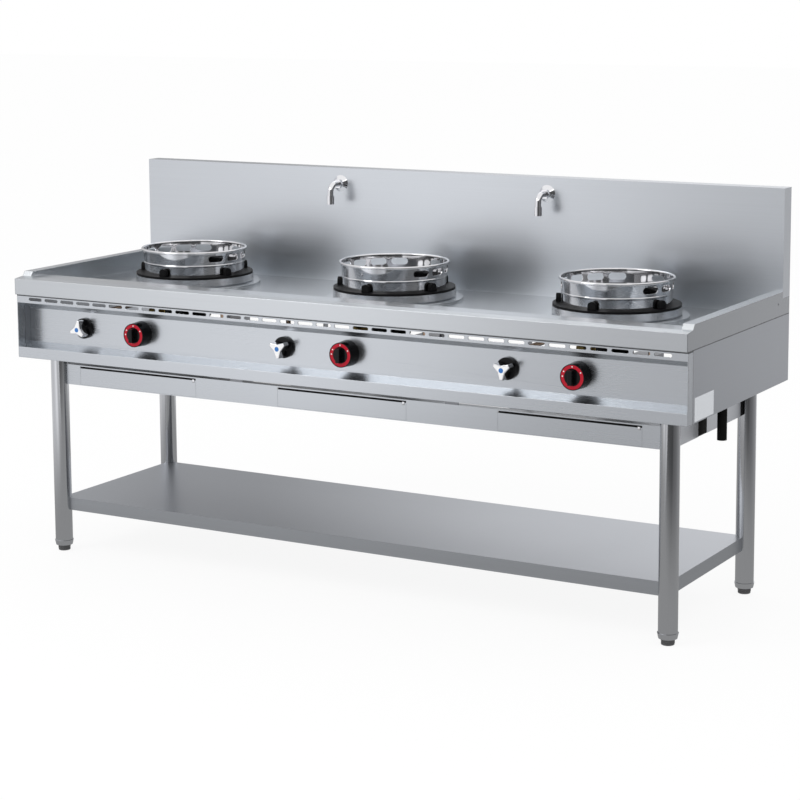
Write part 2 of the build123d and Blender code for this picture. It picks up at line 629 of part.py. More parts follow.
for name, bx in BURNER_XS.items():
    with BuildPart() as iron:
        post(bx, BY, (COLLAR_TOP_Z + EASE, COLLAR_TOP_Z + IRON_T), IRON_R)
        post(bx, BY, (COLLAR_TOP_Z - 2 * IRON_T, COLLAR_TOP_Z + EASE), COLLAR_HOLE_R - LUG_GAP)
        post(bx, BY, (COLLAR_TOP_Z - 2 * IRON_T - OVER, COLLAR_TOP_Z + IRON_T + OVER), IRON_HOLE_R,
             Mode.SUBTRACT)
        for lug in range(LUG_COUNT):
            lug_angle = -90 + lug * 360 / LUG_COUNT
            with BuildSketch(facing_out(bx, COLLAR_TOP_Z + IRON_T, lug_angle, WOK_BEAD_R + LUG_GAP)):
                with Locations((0, LUG_H - LUG_W / 2)):
                    Circle(LUG_W / 2)
                with Locations((0, (LUG_H - LUG_W / 2) / 2)):
                    Rectangle(LUG_W, LUG_H - LUG_W / 2)
            extrude(amount=LUG_T)
    save(iron, f"pan_ring_{name}")

    with BuildPart() as wok_ring:
        with BuildSketch(Plane.XZ.offset(-BY)):
            with BuildLine():
                Polyline((bx + WOK_FOOT_R - WOK_WALL, WOK_FOOT_Z), (bx + WOK_FOOT_R, WOK_FOOT_Z),
                         (bx + WOK_BEAD_R - WOK_WALL, WOK_BEAD_Z - BEAD_H),
                         (bx + WOK_BEAD_R, WOK_BEAD_Z - BEAD_H / 2),
                         (bx + WOK_BEAD_R, WOK_BEAD_Z + BEAD_H / 2),
                         (bx + WOK_BEAD_R - WOK_WALL / 2, WOK_BEAD_Z + BEAD_H), (bx + ROLL_AT_R, ROLL_AT_Z),
                         (bx + ROLL_AT_R - WOK_WALL, ROLL_AT_Z),
                         (bx + WOK_BEAD_R - 1.5 * WOK_WALL, WOK_BEAD_Z + BEAD_H),
                         (bx + WOK_BEAD_R - 2 * WOK_WALL, WOK_BEAD_Z - BEAD_H), close=True)
            make_face()
            with Locations((bx + WOK_RIM_R - WOK_ROLL_R, WOK_RIM_Z - WOK_ROLL_R)):
                Circle(WOK_ROLL_R)
        revolve(axis=Axis((bx, BY, 0), (0, 0, 1)))
        for step in CUTOUT_STEPS:
            with BuildSketch(facing_out(bx, CUTOUT_Z, 90 + step * CUTOUT_PITCH)):
                SlotOverall(CUTOUT_W, CUTOUT_H)
            extrude(amount=WOK_RIM_R + OVER, mode=Mode.SUBTRACT)
    save(wok_ring, f"wok_ring_{name}")

with BuildPart() as burners:
    for bx in BURNER_XS.values():
        with BuildSketch(Plane.XZ.offset(-BY)):
            with BuildLine():
                Polyline((bx, BASE_LOW_Z), (bx + BASE_R, BASE_LOW_Z),
                         (bx + BASE_R, VENTURI_Z + VENTURI_R + SHEET), (bx + BOWL_R, BOWL_Z - BOWL_LIP),
                         (bx + BOWL_R, BOWL_Z), (bx + CAP_R + CAP_STEP, BOWL_Z),
                         (bx + CAP_R + CAP_STEP, BOWL_Z + CAP_STEP), (bx + CAP_R, CAP_Z - CAP_DOME_H),
                         (bx + CAP_R - CAP_DOME_W, CAP_Z), (bx, CAP_Z), close=True)
            make_face()
        revolve(axis=Axis((bx, BY, 0), (0, 0, 1)))
        spindle(bx, VENTURI_Z, (MOUTH_Y + MOUTH_L / 2, BY), VENTURI_R)
        with BuildSketch(Plane.XZ.offset(-MOUTH_Y)):
            with Locations((bx, VENTURI_Z)):
                Circle(MOUTH_R)
        with BuildSketch(Plane.XZ.offset(-(MOUTH_Y + MOUTH_L))):
            with Locations((bx, VENTURI_Z)):
                Circle(VENTURI_R)
        loft()
        spindle(bx, VENTURI_Z, (MOUTH_Y - OVER, MOUTH_Y + VENTURI_BORE), VENTURI_R - VENTURI_WALL,
                Mode.SUBTRACT)
        with Locations((bx, BY, CAP_Z)):
            Cylinder(EYE_R, 2 * EYE_DEPTH, mode=Mode.SUBTRACT)
            with PolarLocations((EYE_R + CAP_R - PORT_R) / 2, PORT_COUNT):
                Cylinder(PORT_R, 2 * PORT_DEPTH, mode=Mode.SUBTRACT)
save(burners, "burners")

with BuildPart() as cradles:
    for bx in BURNER_XS.values():
        span = (Y0 + CRADLE_SET, LEG_YR)
        block((bx - CRADLE_W / 2, bx + CRADLE_W / 2), span, (RAIL_TOP_Z, RAIL_TOP_Z + CRADLE_H))
        block((bx - CRADLE_W / 2 + CRADLE_T, bx + CRADLE_W / 2 - CRADLE_T), (span[0] - OVER, span[1] + OVER),
              (RAIL_TOP_Z, RAIL_TOP_Z + CRADLE_H - CRADLE_T), Mode.SUBTRACT)
        post(bx, BY, (RAIL_TOP_Z + CRADLE_H, BASE_LOW_Z), PEDESTAL_R)
save(cradles, "burner_cradles")

PILOT_GAP = 8.0             # pilot bracket from the burner's bowl
PILOT_W = 16.0
PILOT_R = 4.0               # pilot tube and thermocouple, side by side on the bracket
PILOT_PITCH = 12.0
PILOT_TOP_Z = BOWL_Z + 12.0
PILOT_L = 32.0
with BuildPart() as pilots:
    for bx in BURNER_XS.values():
        px = bx + BOWL_R + PILOT_GAP
        depth = (BY - PILOT_W / 2, BY + PILOT_W / 2)
        foot_z = RAIL_TOP_Z + CRADLE_H
        block((bx + PEDESTAL_R + OVER, px + SHEET), depth, (foot_z, foot_z + SHEET))
        block((px, px + SHEET), depth, (foot_z, BOWL_Z + 2 * SHEET))
        for offset in (-PILOT_PITCH / 2, PILOT_PITCH / 2):
            post(px + SHEET + PILOT_R, BY + offset, (PILOT_TOP_Z - PILOT_L, PILOT_TOP_Z), PILOT_R)
save(pilots, "pilots_and_thermocouples")

# ---------------------------------------------------------------- gas train
VALVE_L = 40.0
VALVE_R = 17.0
VALVE_OUT_R = 9.0           # outlet nipple on top of a valve
VALVE_OUT_H = 2.0
VALVE_NECK_W = 20.0         # neck between a valve and the manifold
VALVE_NECK_H = 18.0
VALVE_BACK = PANEL_BACK + EASE + VALVE_L
SPINDLE_IN = 16.0           # depth of the spindle's seat
INLET_END = 160.0           # gas and water inlets from the ends of the range
MANIFOLD_OVER = 40.0        # closed end past the last valve
GAS_IN_X = X1 - INLET_END
INLET_R = 13.0              # half-inch internally threaded inlet sockets at the rear
INLET_BORE_R = 9.3
INLET_DEPTH = 38.0
BEND_R = 12.0
FEED_R = 4.0
FEED_Y = PANEL_BACK + VALVE_L / 2
VALVE_TOP_Z = CONTROL_Z + VALVE_R + VALVE_OUT_H
INJECTOR_L = 24.0
INJECTOR_Y = MOUTH_Y - INJECTOR_L
FEED_RUN = 28.0             # straight end of a feed pipe before its injector

with BuildPart() as gas_manifold:
    gas_end = KNOB_XS["left"] - MANIFOLD_OVER
    with Locations(Location(((gas_end + GAS_IN_X) / 2, MANIFOLD_Y, MANIFOLD_Z), (0, 90, 0))):
        Cylinder(MANIFOLD_R, GAS_IN_X - gas_end)
    spindle(GAS_IN_X, MANIFOLD_Z, (MANIFOLD_Y, Y1 - SHEET), INLET_R)
    spindle(GAS_IN_X, MANIFOLD_Z, (Y1 - SHEET - INLET_DEPTH, Y1), INLET_BORE_R, Mode.SUBTRACT)
save(gas_manifold, "gas_manifold")

with BuildPart() as gas_valves:
    for kx in KNOB_XS.values():
        spindle(kx, CONTROL_Z, (PANEL_BACK, VALVE_BACK), VALVE_R)
        block((kx - VALVE_NECK_W / 2, kx + VALVE_NECK_W / 2), (VALVE_BACK - SHEET, MANIFOLD_Y - MANIFOLD_R),
              (MANIFOLD_Z - VALVE_NECK_H / 2, MANIFOLD_Z + VALVE_NECK_H / 2))
        post(kx, FEED_Y, (CONTROL_Z, VALVE_TOP_Z), VALVE_OUT_R)
        spindle(kx, CONTROL_Z, (PANEL_BACK - OVER, PANEL_BACK + SPINDLE_IN), SPINDLE_R + SHAFT_FIT,
                Mode.SUBTRACT)
save(gas_valves, "gas_valves")

with BuildPart() as gas_feeds:
    for name, kx in KNOB_XS.items():
        bx = BURNER_XS[name]
        route = [(kx, FEED_Y, VALVE_TOP_Z), (kx, FEED_Y, VENTURI_Z), (bx, INJECTOR_Y - FEED_RUN, VENTURI_Z),
                 (bx, INJECTOR_Y, VENTURI_Z)]
        pipe(route, BEND_R, FEED_R)
save(gas_feeds, "gas_feed_pipes")

BRIDGE_H = 12.0             # strap that holds an injector across the air mouth
with BuildPart() as injectors:
    for bx in BURNER_XS.values():
        spindle(bx, VENTURI_Z, (INJECTOR_Y, MOUTH_Y), INJECTOR_R)
        block((bx - MOUTH_R, bx + MOUTH_R), (MOUTH_Y - SHEET, MOUTH_Y - EASE / 2),
              (VENTURI_Z - BRIDGE_H / 2, VENTURI_Z + BRIDGE_H / 2))
save(injectors, "gas_injectors")

RING_T = 3.0
RING_SINK = 0.4             # scale ring behind the rim round it
KNOB_GAP = 1.0              # knob from the control panel
KNOB_BACK = PANEL_Y - KNOB_GAP
KNOB_FRONT = KNOB_BACK - KNOB_L
RIM_R = KNOB_R - KNOB_TAPER
SCALE_R = KNOB_R - KNOB_RIM
SCALE_IN_R = SCALE_R - SCALE_W
RING_PLAY = 0.2             # scale ring in its groove
for name, kx in KNOB_XS.items():
    with BuildPart() as knob:
        with BuildSketch(Plane.XZ.offset(-KNOB_BACK)):
            with Locations((kx, CONTROL_Z)):
                Circle(KNOB_R)
        with BuildSketch(Plane.XZ.offset(-KNOB_FRONT)):
            with Locations((kx, CONTROL_Z)):
                Circle(RIM_R)
        loft()
        spindle(kx, CONTROL_Z, (KNOB_FRONT - OVER, KNOB_FRONT + RING_T), SCALE_R, Mode.SUBTRACT)
        spindle(kx, CONTROL_Z, (KNOB_FRONT + RING_T, KNOB_FRONT), SCALE_IN_R)
        block((kx - GRIP_W / 2, kx + GRIP_W / 2), (KNOB_FRONT - GRIP_OUT, KNOB_FRONT + OVER),
              (CONTROL_Z - GRIP_H / 2, CONTROL_Z + GRIP_H / 2))
        grip_edges = knob.edges().group_by(Axis.Y)[0]
        fillet(grip_edges, GRIP_W / 8)
        spindle(kx, CONTROL_Z, (KNOB_BACK - KNOB_L / 3, PANEL_BACK + SPINDLE_IN - KNOB_GAP), SPINDLE_R)
    save(knob, f"gas_knob_{name}")

    with BuildPart() as scale_ring:
        spindle(kx, CONTROL_Z, (KNOB_FRONT + RING_SINK, KNOB_FRONT + RING_T), SCALE_R - RING_PLAY)
        spindle(kx, CONTROL_Z, (KNOB_FRONT - OVER, KNOB_FRONT + RING_T + OVER), SCALE_IN_R + RING_PLAY,
                Mode.SUBTRACT)
    save(scale_ring, f"knob_scale_ring_{name}")

# ---------------------------------------------------------------- water train
WATER_IN_X = X0 + INLET_END
WATER_OVER = 25.0           # closed end past the last tap
TAP_L = 36.0
TAP_R = 14.0
TAP_NECK_W = 16.0           # neck between a tap's body and the manifold
TAP_OUT_R = 9.0             # outlet nipple on top of a tap's body
TAP_OUT_H = 2.0
TAP_TOP_Z = CONTROL_Z + TAP_R + TAP_OUT_H
ROSE_T = 9.0                # round black plate behind a tap handle
STEM_L = 14.0
HUB_R = 12.0
HANDLE_L = 30.0             # hub and lobes of a tap handle, in front of the plate
LOBE_L = 24.0
LOBE_W = 9.0                # blunt tip of a lobe
WAIST_R = 12.5              # handle's edge between two lobes
LOBE_ROUND = 2.0
LOBE_ANGLES = {"left": 80.0, "centre": 33.0, "right": 30.0}

with BuildPart() as water_manifold:
    water_end = TAP_XS["right"] + WATER_OVER
    with Locations(Location(((WATER_IN_X + water_end) / 2, WATER_Y, WATER_Z), (0, 90, 0))):
        Cylinder(WATER_R, water_end - WATER_IN_X)
    spindle(WATER_IN_X, WATER_Z, (WATER_Y, Y1 - SHEET), INLET_R)
    spindle(WATER_IN_X, WATER_Z, (Y1 - SHEET - INLET_DEPTH, Y1), INLET_BORE_R, Mode.SUBTRACT)
save(water_manifold, "water_manifold")

with BuildPart() as water_valves:
    for tx in TAP_XS.values():
        spindle(tx, CONTROL_Z, (PANEL_BACK, PANEL_BACK + TAP_L), TAP_R)
        spindle(tx, CONTROL_Z, (PANEL_BACK, PANEL_Y - ROSE_T - STEM_L), STEM_R)
        block((tx - TAP_NECK_W / 2, tx + TAP_NECK_W / 2),
              (WATER_Y - TAP_NECK_W / 2, WATER_Y + TAP_NECK_W / 2), (WATER_Z + WATER_R, CONTROL_Z))
        post(tx, WATER_Y, (CONTROL_Z, TAP_TOP_Z), TAP_OUT_R)
save(water_valves, "water_valves")

with BuildPart() as tap_roses:
    for tx in TAP_XS.values():
        spindle(tx, CONTROL_Z, (PANEL_Y, PANEL_Y - ROSE_T), TAP_ROSE_R)
        spindle(tx, CONTROL_Z, (PANEL_Y + OVER, PANEL_Y - ROSE_T - OVER), STEM_R + EASE, Mode.SUBTRACT)
save(tap_roses, "tap_roses")

HANDLE_FRONT = PANEL_Y - ROSE_T - HANDLE_L
for name, tx in TAP_XS.items():
    outline = []
    for lobe in range(3):
        tip = math.radians(LOBE_ANGLES[name] + lobe * 120)
        waist = tip + math.radians(60)
        for side in (-LOBE_W / 2, LOBE_W / 2):
            outline.append((tx + TAP_TIP_R * math.cos(tip) - side * math.sin(tip),
                            CONTROL_Z + TAP_TIP_R * math.sin(tip) + side * math.cos(tip)))
        outline.append((tx + WAIST_R * math.cos(waist), CONTROL_Z + WAIST_R * math.sin(waist)))
    with BuildPart() as tap_handle:
        along_y(outline, (HANDLE_FRONT, HANDLE_FRONT + LOBE_L))
        fillet(tap_handle.edges(), LOBE_ROUND)
        spindle(tx, CONTROL_Z, (PANEL_Y - ROSE_T - EASE, HANDLE_FRONT + LOBE_L / 2), HUB_R)
        spindle(tx, CONTROL_Z, (PANEL_Y, PANEL_Y - ROSE_T - STEM_L - OVER), STEM_R + SHAFT_FIT, Mode.SUBTRACT)
    save(tap_handle, f"tap_handle_{name}")

RUN_Z = 700.0
with BuildPart() as water_pipes:
    for name, sx in SPOUTS.items():
        tx = TAP_XS[name]
        route = [(tx, WATER_Y, TAP_TOP_Z), (tx, WATER_Y, RUN_Z), (tx, RISER_Y, RUN_Z),
                 (sx, RISER_Y, RUN_Z), (sx, RISER_Y, SPOUT_Z), (sx, SPLASH_Y + SHEET, SPOUT_Z)]
        pipe(route, BEND_R, PIPE_R)
    post(RINSE_X, WATER_Y, (TAP_TOP_Z, RINSE_Z - RINSE_R), PIPE_R)
save(water_pipes, "water_pipes")

RINSE_W = 16.0
RINSE_OUT = 14.0            # nozzle past the basin's front wall
with BuildPart() as rinse_nozzle:
    block((RINSE_X - RINSE_W / 2, RINSE_X + RINSE_W / 2),
          (WATER_Y - RINSE_W / 2, BASIN_FRONT_Y - SHEET - EASE / 2), (RINSE_Z - RINSE_R, RINSE_Z + RINSE_R))
    spindle(RINSE_X, RINSE_Z, (BASIN_FRONT_Y - 2 * SHEET, BASIN_FRONT_Y + RINSE_OUT), RINSE_R)
save(rinse_nozzle, "rinse_nozzle")

ROSE_R = 24.0
ROSE_NECK_R = 13.0
ROSE_DEPTH = 9.0
NUT_R = 14.0                # six-sided nut of a spout, in front of its rosette
NUT_L = 10.0
NOZZLE_R = 11.0
NOZZLE_WALL = 3.0
NOZZLE_BORE = 8.0
NOZZLE_H = 25.0
SPOUT_TUBE_R = 8.5
ELBOW_R = 24.0
ELBOW_Y = SPLASH_Y - SPOUT_REACH
NOZZLE_LOW_Z = SPOUT_Z - SPOUT_DROP
NOZZLE_TOP_Z = NOZZLE_LOW_Z + NOZZLE_H
with BuildPart() as spouts:
    for sx in SPOUTS.values():
        with BuildSketch(Plane.XZ.offset(-SPLASH_Y)):
            with Locations((sx, SPOUT_Z)):
                Circle(ROSE_R)
        with BuildSketch(Plane.XZ.offset(-(SPLASH_Y - ROSE_DEPTH))):
            with Locations((sx, SPOUT_Z)):
                Circle(ROSE_NECK_R)
        loft()
        with BuildSketch(Plane.XZ.offset(-(SPLASH_Y - ROSE_DEPTH))):
            with Locations((sx, SPOUT_Z)):
                RegularPolygon(NUT_R, 6)
        extrude(amount=NUT_L)
        spindle(sx, SPOUT_Z, (SPLASH_Y - OVER, SPLASH_Y + SHEET), PIPE_R)
        route = [(sx, SPLASH_Y - ROSE_DEPTH / 2, SPOUT_Z), (sx, ELBOW_Y, SPOUT_Z), (sx, ELBOW_Y, NOZZLE_TOP_Z)]
        pipe(route, ELBOW_R, SPOUT_TUBE_R)
save(spouts, "wall_spouts")

with BuildPart() as nozzles:
    for sx in SPOUTS.values():
        post(sx, ELBOW_Y, (NOZZLE_LOW_Z, NOZZLE_TOP_Z), NOZZLE_R)
        post(sx, ELBOW_Y, (NOZZLE_LOW_Z - OVER, NOZZLE_LOW_Z + NOZZLE_BORE), NOZZLE_R - NOZZLE_WALL,
             Mode.SUBTRACT)
save(nozzles, "spout_nozzles")

# ---------------------------------------------------------------- basin waste
WASTE_LOW_Z = 473.0
WASTE_SLOPE = (BASIN_FRONT_Z - BASIN_REAR_Z) / (SPLASH_Y - BASIN_FRONT_Y)
WASTE_TOP_Z = BASIN_FRONT_Z - WASTE_SLOPE * (WASTE_Y - BASIN_FRONT_Y) - SHEET
with BuildPart() as waste_pipe:
    post(WASTE_X, WASTE_Y, (WASTE_LOW_Z, WASTE_TOP_Z), WASTE_R)
    post(WASTE_X, WASTE_Y, (WASTE_LOW_Z - OVER, BASIN_FRONT_Z), WASTE_R - WASTE_WALL, Mode.SUBTRACT)
save(waste_pipe, "waste_pipe")
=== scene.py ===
"""Looks of a free-standing stainless wok range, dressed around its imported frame.

Every size is in metres, in the frame's own axes: +X to the right end, +Y to the wall, +Z up.
"""

import json
import logging
import math
from dataclasses import dataclass
from enum import Enum

import bmesh
import bpy
from mathutils import Matrix, Vector


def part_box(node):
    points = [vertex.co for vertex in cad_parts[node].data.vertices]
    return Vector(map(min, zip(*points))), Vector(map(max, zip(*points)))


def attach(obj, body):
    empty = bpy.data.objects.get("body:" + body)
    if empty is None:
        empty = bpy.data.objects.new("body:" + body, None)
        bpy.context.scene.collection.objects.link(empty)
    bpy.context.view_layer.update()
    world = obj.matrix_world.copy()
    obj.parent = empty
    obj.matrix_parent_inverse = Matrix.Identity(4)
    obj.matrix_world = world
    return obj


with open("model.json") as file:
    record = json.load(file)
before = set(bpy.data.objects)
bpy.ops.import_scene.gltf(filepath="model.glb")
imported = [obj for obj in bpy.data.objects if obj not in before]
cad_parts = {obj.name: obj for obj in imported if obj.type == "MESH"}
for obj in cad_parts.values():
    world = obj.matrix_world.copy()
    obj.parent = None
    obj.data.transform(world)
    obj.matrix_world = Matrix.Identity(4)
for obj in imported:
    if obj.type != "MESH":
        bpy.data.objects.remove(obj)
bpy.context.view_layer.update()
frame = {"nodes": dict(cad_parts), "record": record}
LOG = logging.getLogger("wok_range")

MM = 0.001
RANGE_BODY = "range"
PLACES = ("left", "centre", "right")
TO_FRONT = Vector((0.0, -1.0, 0.0))
DOWN = Vector((0.0, 0.0, -1.0))
WHITE = (1.0, 1.0, 1.0, 1.0)


class Grain(Enum):
    """Which way the fine brush lines of a sheet run."""

    ALONG_X = (1.5, 420.0, 420.0)
    ALONG_Y = (420.0, 1.5, 420.0)
    ALONG_Z = (420.0, 420.0, 1.5)
    NONE = (90.0, 90.0, 90.0)


class Axis(Enum):
    """An axis of the frame, by the name of its socket."""

    X = "X"
    Y = "Y"
    Z = "Z"


class Past(Enum):
    """Which side of a plane a zone lies on."""

    BELOW = "LESS_THAN"
    ABOVE = "GREATER_THAN"


def add_node(tree: bpy.types.NodeTree, kind: str, **values: object) -> bpy.types.Node:
    """Adds a shader node and sets its plain properties.

    Args:
        tree: the nodes to add to.
        kind: the node's type.
        values: its properties by name.

    Returns:
        The new node.
    """
    made = tree.nodes.new(kind)
    for key, value in values.items():
        setattr(made, key, value)
    return made


def set_inputs(node: bpy.types.Node, values: dict[str, object]) -> None:
    """Sets a node's sockets by their names.

    Args:
        node: the node.
        values: the sockets' values by name.
    """
    for name, value in values.items():
        node.inputs[name].default_value = value


def new_material(name: str) -> tuple[bpy.types.Material, bpy.types.NodeTree]:
    """Makes a material with nodes.

    Args:
        name: the material's name.

    Returns:
        The material and its nodes.
    """
    material = bpy.data.materials.new(name)
    material.use_nodes = True
    return material, material.node_tree


# ---------------------------------------------------------------- shader node groups
class Sockets:
    """Adds the named sockets of a shader node group."""

    def __init__(self, name: str) -> None:
        """Starts an empty group with its input and output nodes.

        Args:
            name: the group's name.
        """
        self.tree = bpy.data.node_groups.new(name, "ShaderNodeTree")
        self.inside = self.tree.nodes.new("NodeGroupInput")
        self.outside = self.tree.nodes.new("NodeGroupOutput")

    def take(self, name: str, kind: str, value: object) -> None:
        """Adds an input socket with its default value.

        Args:
            name: the socket's name.
            kind: its socket type.
            value: its default.
        """
        socket = self.tree.interface.new_socket(name=name, in_out="INPUT", socket_type=kind)
        socket.default_value = value

    def give(self, name: str, kind: str) -> None:
        """Adds an output socket."""
        self.tree.interface.new_socket(name=name, in_out="OUTPUT", socket_type=kind)

    def node(self, kind: str, **values: object) -> bpy.types.Node:
        """Adds a node to the group and sets its plain properties."""
        return add_node(self.tree, kind, **values)

    def link(self, source: bpy.types.NodeSocket, target: bpy.types.NodeSocket) -> None:
        """Joins two sockets."""
        self.tree.links.new(source, target)


TINT_RANGE = (0.965, 1.035)   # how far the brush lines shade the colour
LINE_DETAIL = 4.0
CLOUD_SCALE = 2.4             # soft smudges per metre
CLOUD_DETAIL = 3.0
LINE_ROUGHNESS = 0.05
GRAIN_DETAIL = 5.0
PATCH_SCALE = 14.0            # worn patches per metre
PATCH_ROUGHNESS = 0.12
MIDDLE = 0.5


def brush_group() -> bpy.types.NodeTree:
    """Fine brush lines, soft smudges and faint handling marks of sheet steel.

    Returns:
        A group that gives a colour, a roughness and a height.
    """
    group = Sockets("brushed_sheet")
    group.take("Colour", "NodeSocketColor", (0.5, 0.5, 0.5, 1.0))
    group.take("Stretch", "NodeSocketVector", (1.0, 1.0, 1.0))
    group.take("Roughness", "NodeSocketFloat", 0.3)
    group.take("Line Depth", "NodeSocketFloat", 0.5)
    group.take("Smudge", "NodeSocketFloat", 0.06)
    group.give("Colour", "NodeSocketColor")
    group.give("Roughness", "NodeSocketFloat")
    group.give("Height", "NodeSocketFloat")
    place = group.node("ShaderNodeTexCoord")
    stretch = group.node("ShaderNodeVectorMath", operation="MULTIPLY")
    group.link(place.outputs["Object"], stretch.inputs[0])
    group.link(group.inside.outputs["Stretch"], stretch.inputs[1])
    lines = group.node("ShaderNodeTexNoise")
    lines.inputs["Scale"].default_value = 1.0
    lines.inputs["Detail"].default_value = LINE_DETAIL
    group.link(stretch.outputs[0], lines.inputs["Vector"])
    clouds = group.node("ShaderNodeTexNoise")
    clouds.inputs["Scale"].default_value = CLOUD_SCALE
    clouds.inputs["Detail"].default_value = CLOUD_DETAIL
    group.link(place.outputs["Object"], clouds.inputs["Vector"])
    shade = group.node("ShaderNodeMapRange")
    shade.inputs["To Min"].default_value, shade.inputs["To Max"].default_value = TINT_RANGE
    group.link(lines.outputs[0], shade.inputs["Value"])
    tint = group.node("ShaderNodeVectorMath", operation="SCALE")
    group.link(group.inside.outputs["Colour"], tint.inputs[0])
    group.link(shade.outputs[0], tint.inputs["Scale"])
    centred = group.node("ShaderNodeMath", operation="SUBTRACT")
    centred.inputs[1].default_value = MIDDLE
    group.link(clouds.outputs[0], centred.inputs[0])
    wide = group.node("ShaderNodeMath", operation="MULTIPLY")
    group.link(centred.outputs[0], wide.inputs[0])
    group.link(group.inside.outputs["Smudge"], wide.inputs[1])
    fine = group.node("ShaderNodeMath", operation="MULTIPLY_ADD")
    fine.inputs[1].default_value = LINE_ROUGHNESS
    group.link(lines.outputs[0], fine.inputs[0])
    group.link(wide.outputs[0], fine.inputs[2])
    rough = group.node("ShaderNodeMath", operation="ADD", use_clamp=True)
    group.link(fine.outputs[0], rough.inputs[0])
    group.link(group.inside.outputs["Roughness"], rough.inputs[1])
    depth = group.node("ShaderNodeMath", operation="MULTIPLY")
    group.link(lines.outputs[0], depth.inputs[0])
    group.link(group.inside.outputs["Line Depth"], depth.inputs[1])
    group.link(tint.outputs[0], group.outside.inputs["Colour"])
    group.link(rough.outputs[0], group.outside.inputs["Roughness"])
    group.link(depth.outputs[0], group.outside.inputs["Height"])
    return group.tree


def speckle_group() -> bpy.types.NodeTree:
    """Fine random grain of castings, rubber and moulded pieces.

    Returns:
        A group that gives a colour, a roughness and a height.
    """
    group = Sockets("fine_speckle")
    group.take("Colour", "NodeSocketColor", (0.1, 0.1, 0.1, 1.0))
    group.take("Worn Colour", "NodeSocketColor", (0.2, 0.2, 0.2, 1.0))
    group.take("Scale", "NodeSocketFloat", 300.0)
    group.take("Roughness", "NodeSocketFloat", 0.5)
    group.take("Wear", "NodeSocketFloat", 0.2)
    group.give("Colour", "NodeSocketColor")
    group.give("Roughness", "NodeSocketFloat")
    group.give("Height", "NodeSocketFloat")
    place = group.node("ShaderNodeTexCoord")
    grain = group.node("ShaderNodeTexNoise")
    grain.inputs["Detail"].default_value = GRAIN_DETAIL
    group.link(place.outputs["Object"], grain.inputs["Vector"])
    group.link(group.inside.outputs["Scale"], grain.inputs["Scale"])
    patches = group.node("ShaderNodeTexNoise")
    patches.inputs["Scale"].default_value = PATCH_SCALE
    group.link(place.outputs["Object"], patches.inputs["Vector"])
    worn = group.node("ShaderNodeMath", operation="MULTIPLY", use_clamp=True)
    group.link(patches.outputs[0], worn.inputs[0])
    group.link(group.inside.outputs["Wear"], worn.inputs[1])
    mixed = group.node("ShaderNodeMix", data_type="RGBA")
    group.link(worn.outputs[0], mixed.inputs["Factor"])
    group.link(group.inside.outputs["Colour"], mixed.inputs["A"])
    group.link(group.inside.outputs["Worn Colour"], mixed.inputs["B"])
    rough = group.node("ShaderNodeMath", operation="MULTIPLY_ADD", use_clamp=True)
    rough.inputs[1].default_value = PATCH_ROUGHNESS
    group.link(patches.outputs[0], rough.inputs[0])
    group.link(group.inside.outputs["Roughness"], rough.inputs[2])
    group.link(mixed.outputs["Result"], group.outside.inputs["Colour"])
    group.link(rough.outputs[0], group.outside.inputs["Roughness"])
    group.link(grain.outputs[0], group.outside.inputs["Height"])
    return group.tree


# ---------------------------------------------------------------- finishes
@dataclass(frozen=True)
class Zone:
    """A part of a sheet past one plane darkened with painted shade, such as the shadow line in a joint gap or
    a folded end turned from the light.

    Attributes:
        axis: the axis across the plane.
        place: the plane's place on that axis, in metres.
        side: the side of the plane it lies on.
        shade: what its colour is multiplied by.
    """

    axis: Axis
    place: float
    side: Past
    shade: float

    def darken(self, tree: bpy.types.NodeTree, colour: bpy.types.NodeSocket) -> bpy.types.NodeSocket:
        """Adds the painted shade to a colour.

        Args:
            tree: the material's nodes.
            colour: the colour so far.

        Returns:
            The colour with the zone in it.
        """
        place = add_node(tree, "ShaderNodeTexCoord")
        parts = add_node(tree, "ShaderNodeSeparateXYZ")
        test = add_node(tree, "ShaderNodeMath", operation=self.side.value)
        test.inputs[1].default_value = self.place
        level = add_node(tree, "ShaderNodeMath", operation="MULTIPLY_ADD")
        level.inputs[1].default_value = self.shade - 1.0
        level.inputs[2].default_value = 1.0
        tint = add_node(tree, "ShaderNodeVectorMath", operation="SCALE")
        tree.links.new(place.outputs["Object"], parts.inputs[0])
        tree.links.new(parts.outputs[self.axis.value], test.inputs[0])
        tree.links.new(test.outputs[0], level.inputs[0])
        tree.links.new(colour, tint.inputs[0])
        tree.links.new(level.outputs[0], tint.inputs["Scale"])
        return tint.outputs[0]


BRUSH_BUMP = 0.035
BRUSH_DEPTH = 0.2 * MM
GRAIN_BUMP = 0.4
BEND_SAMPLES = 4


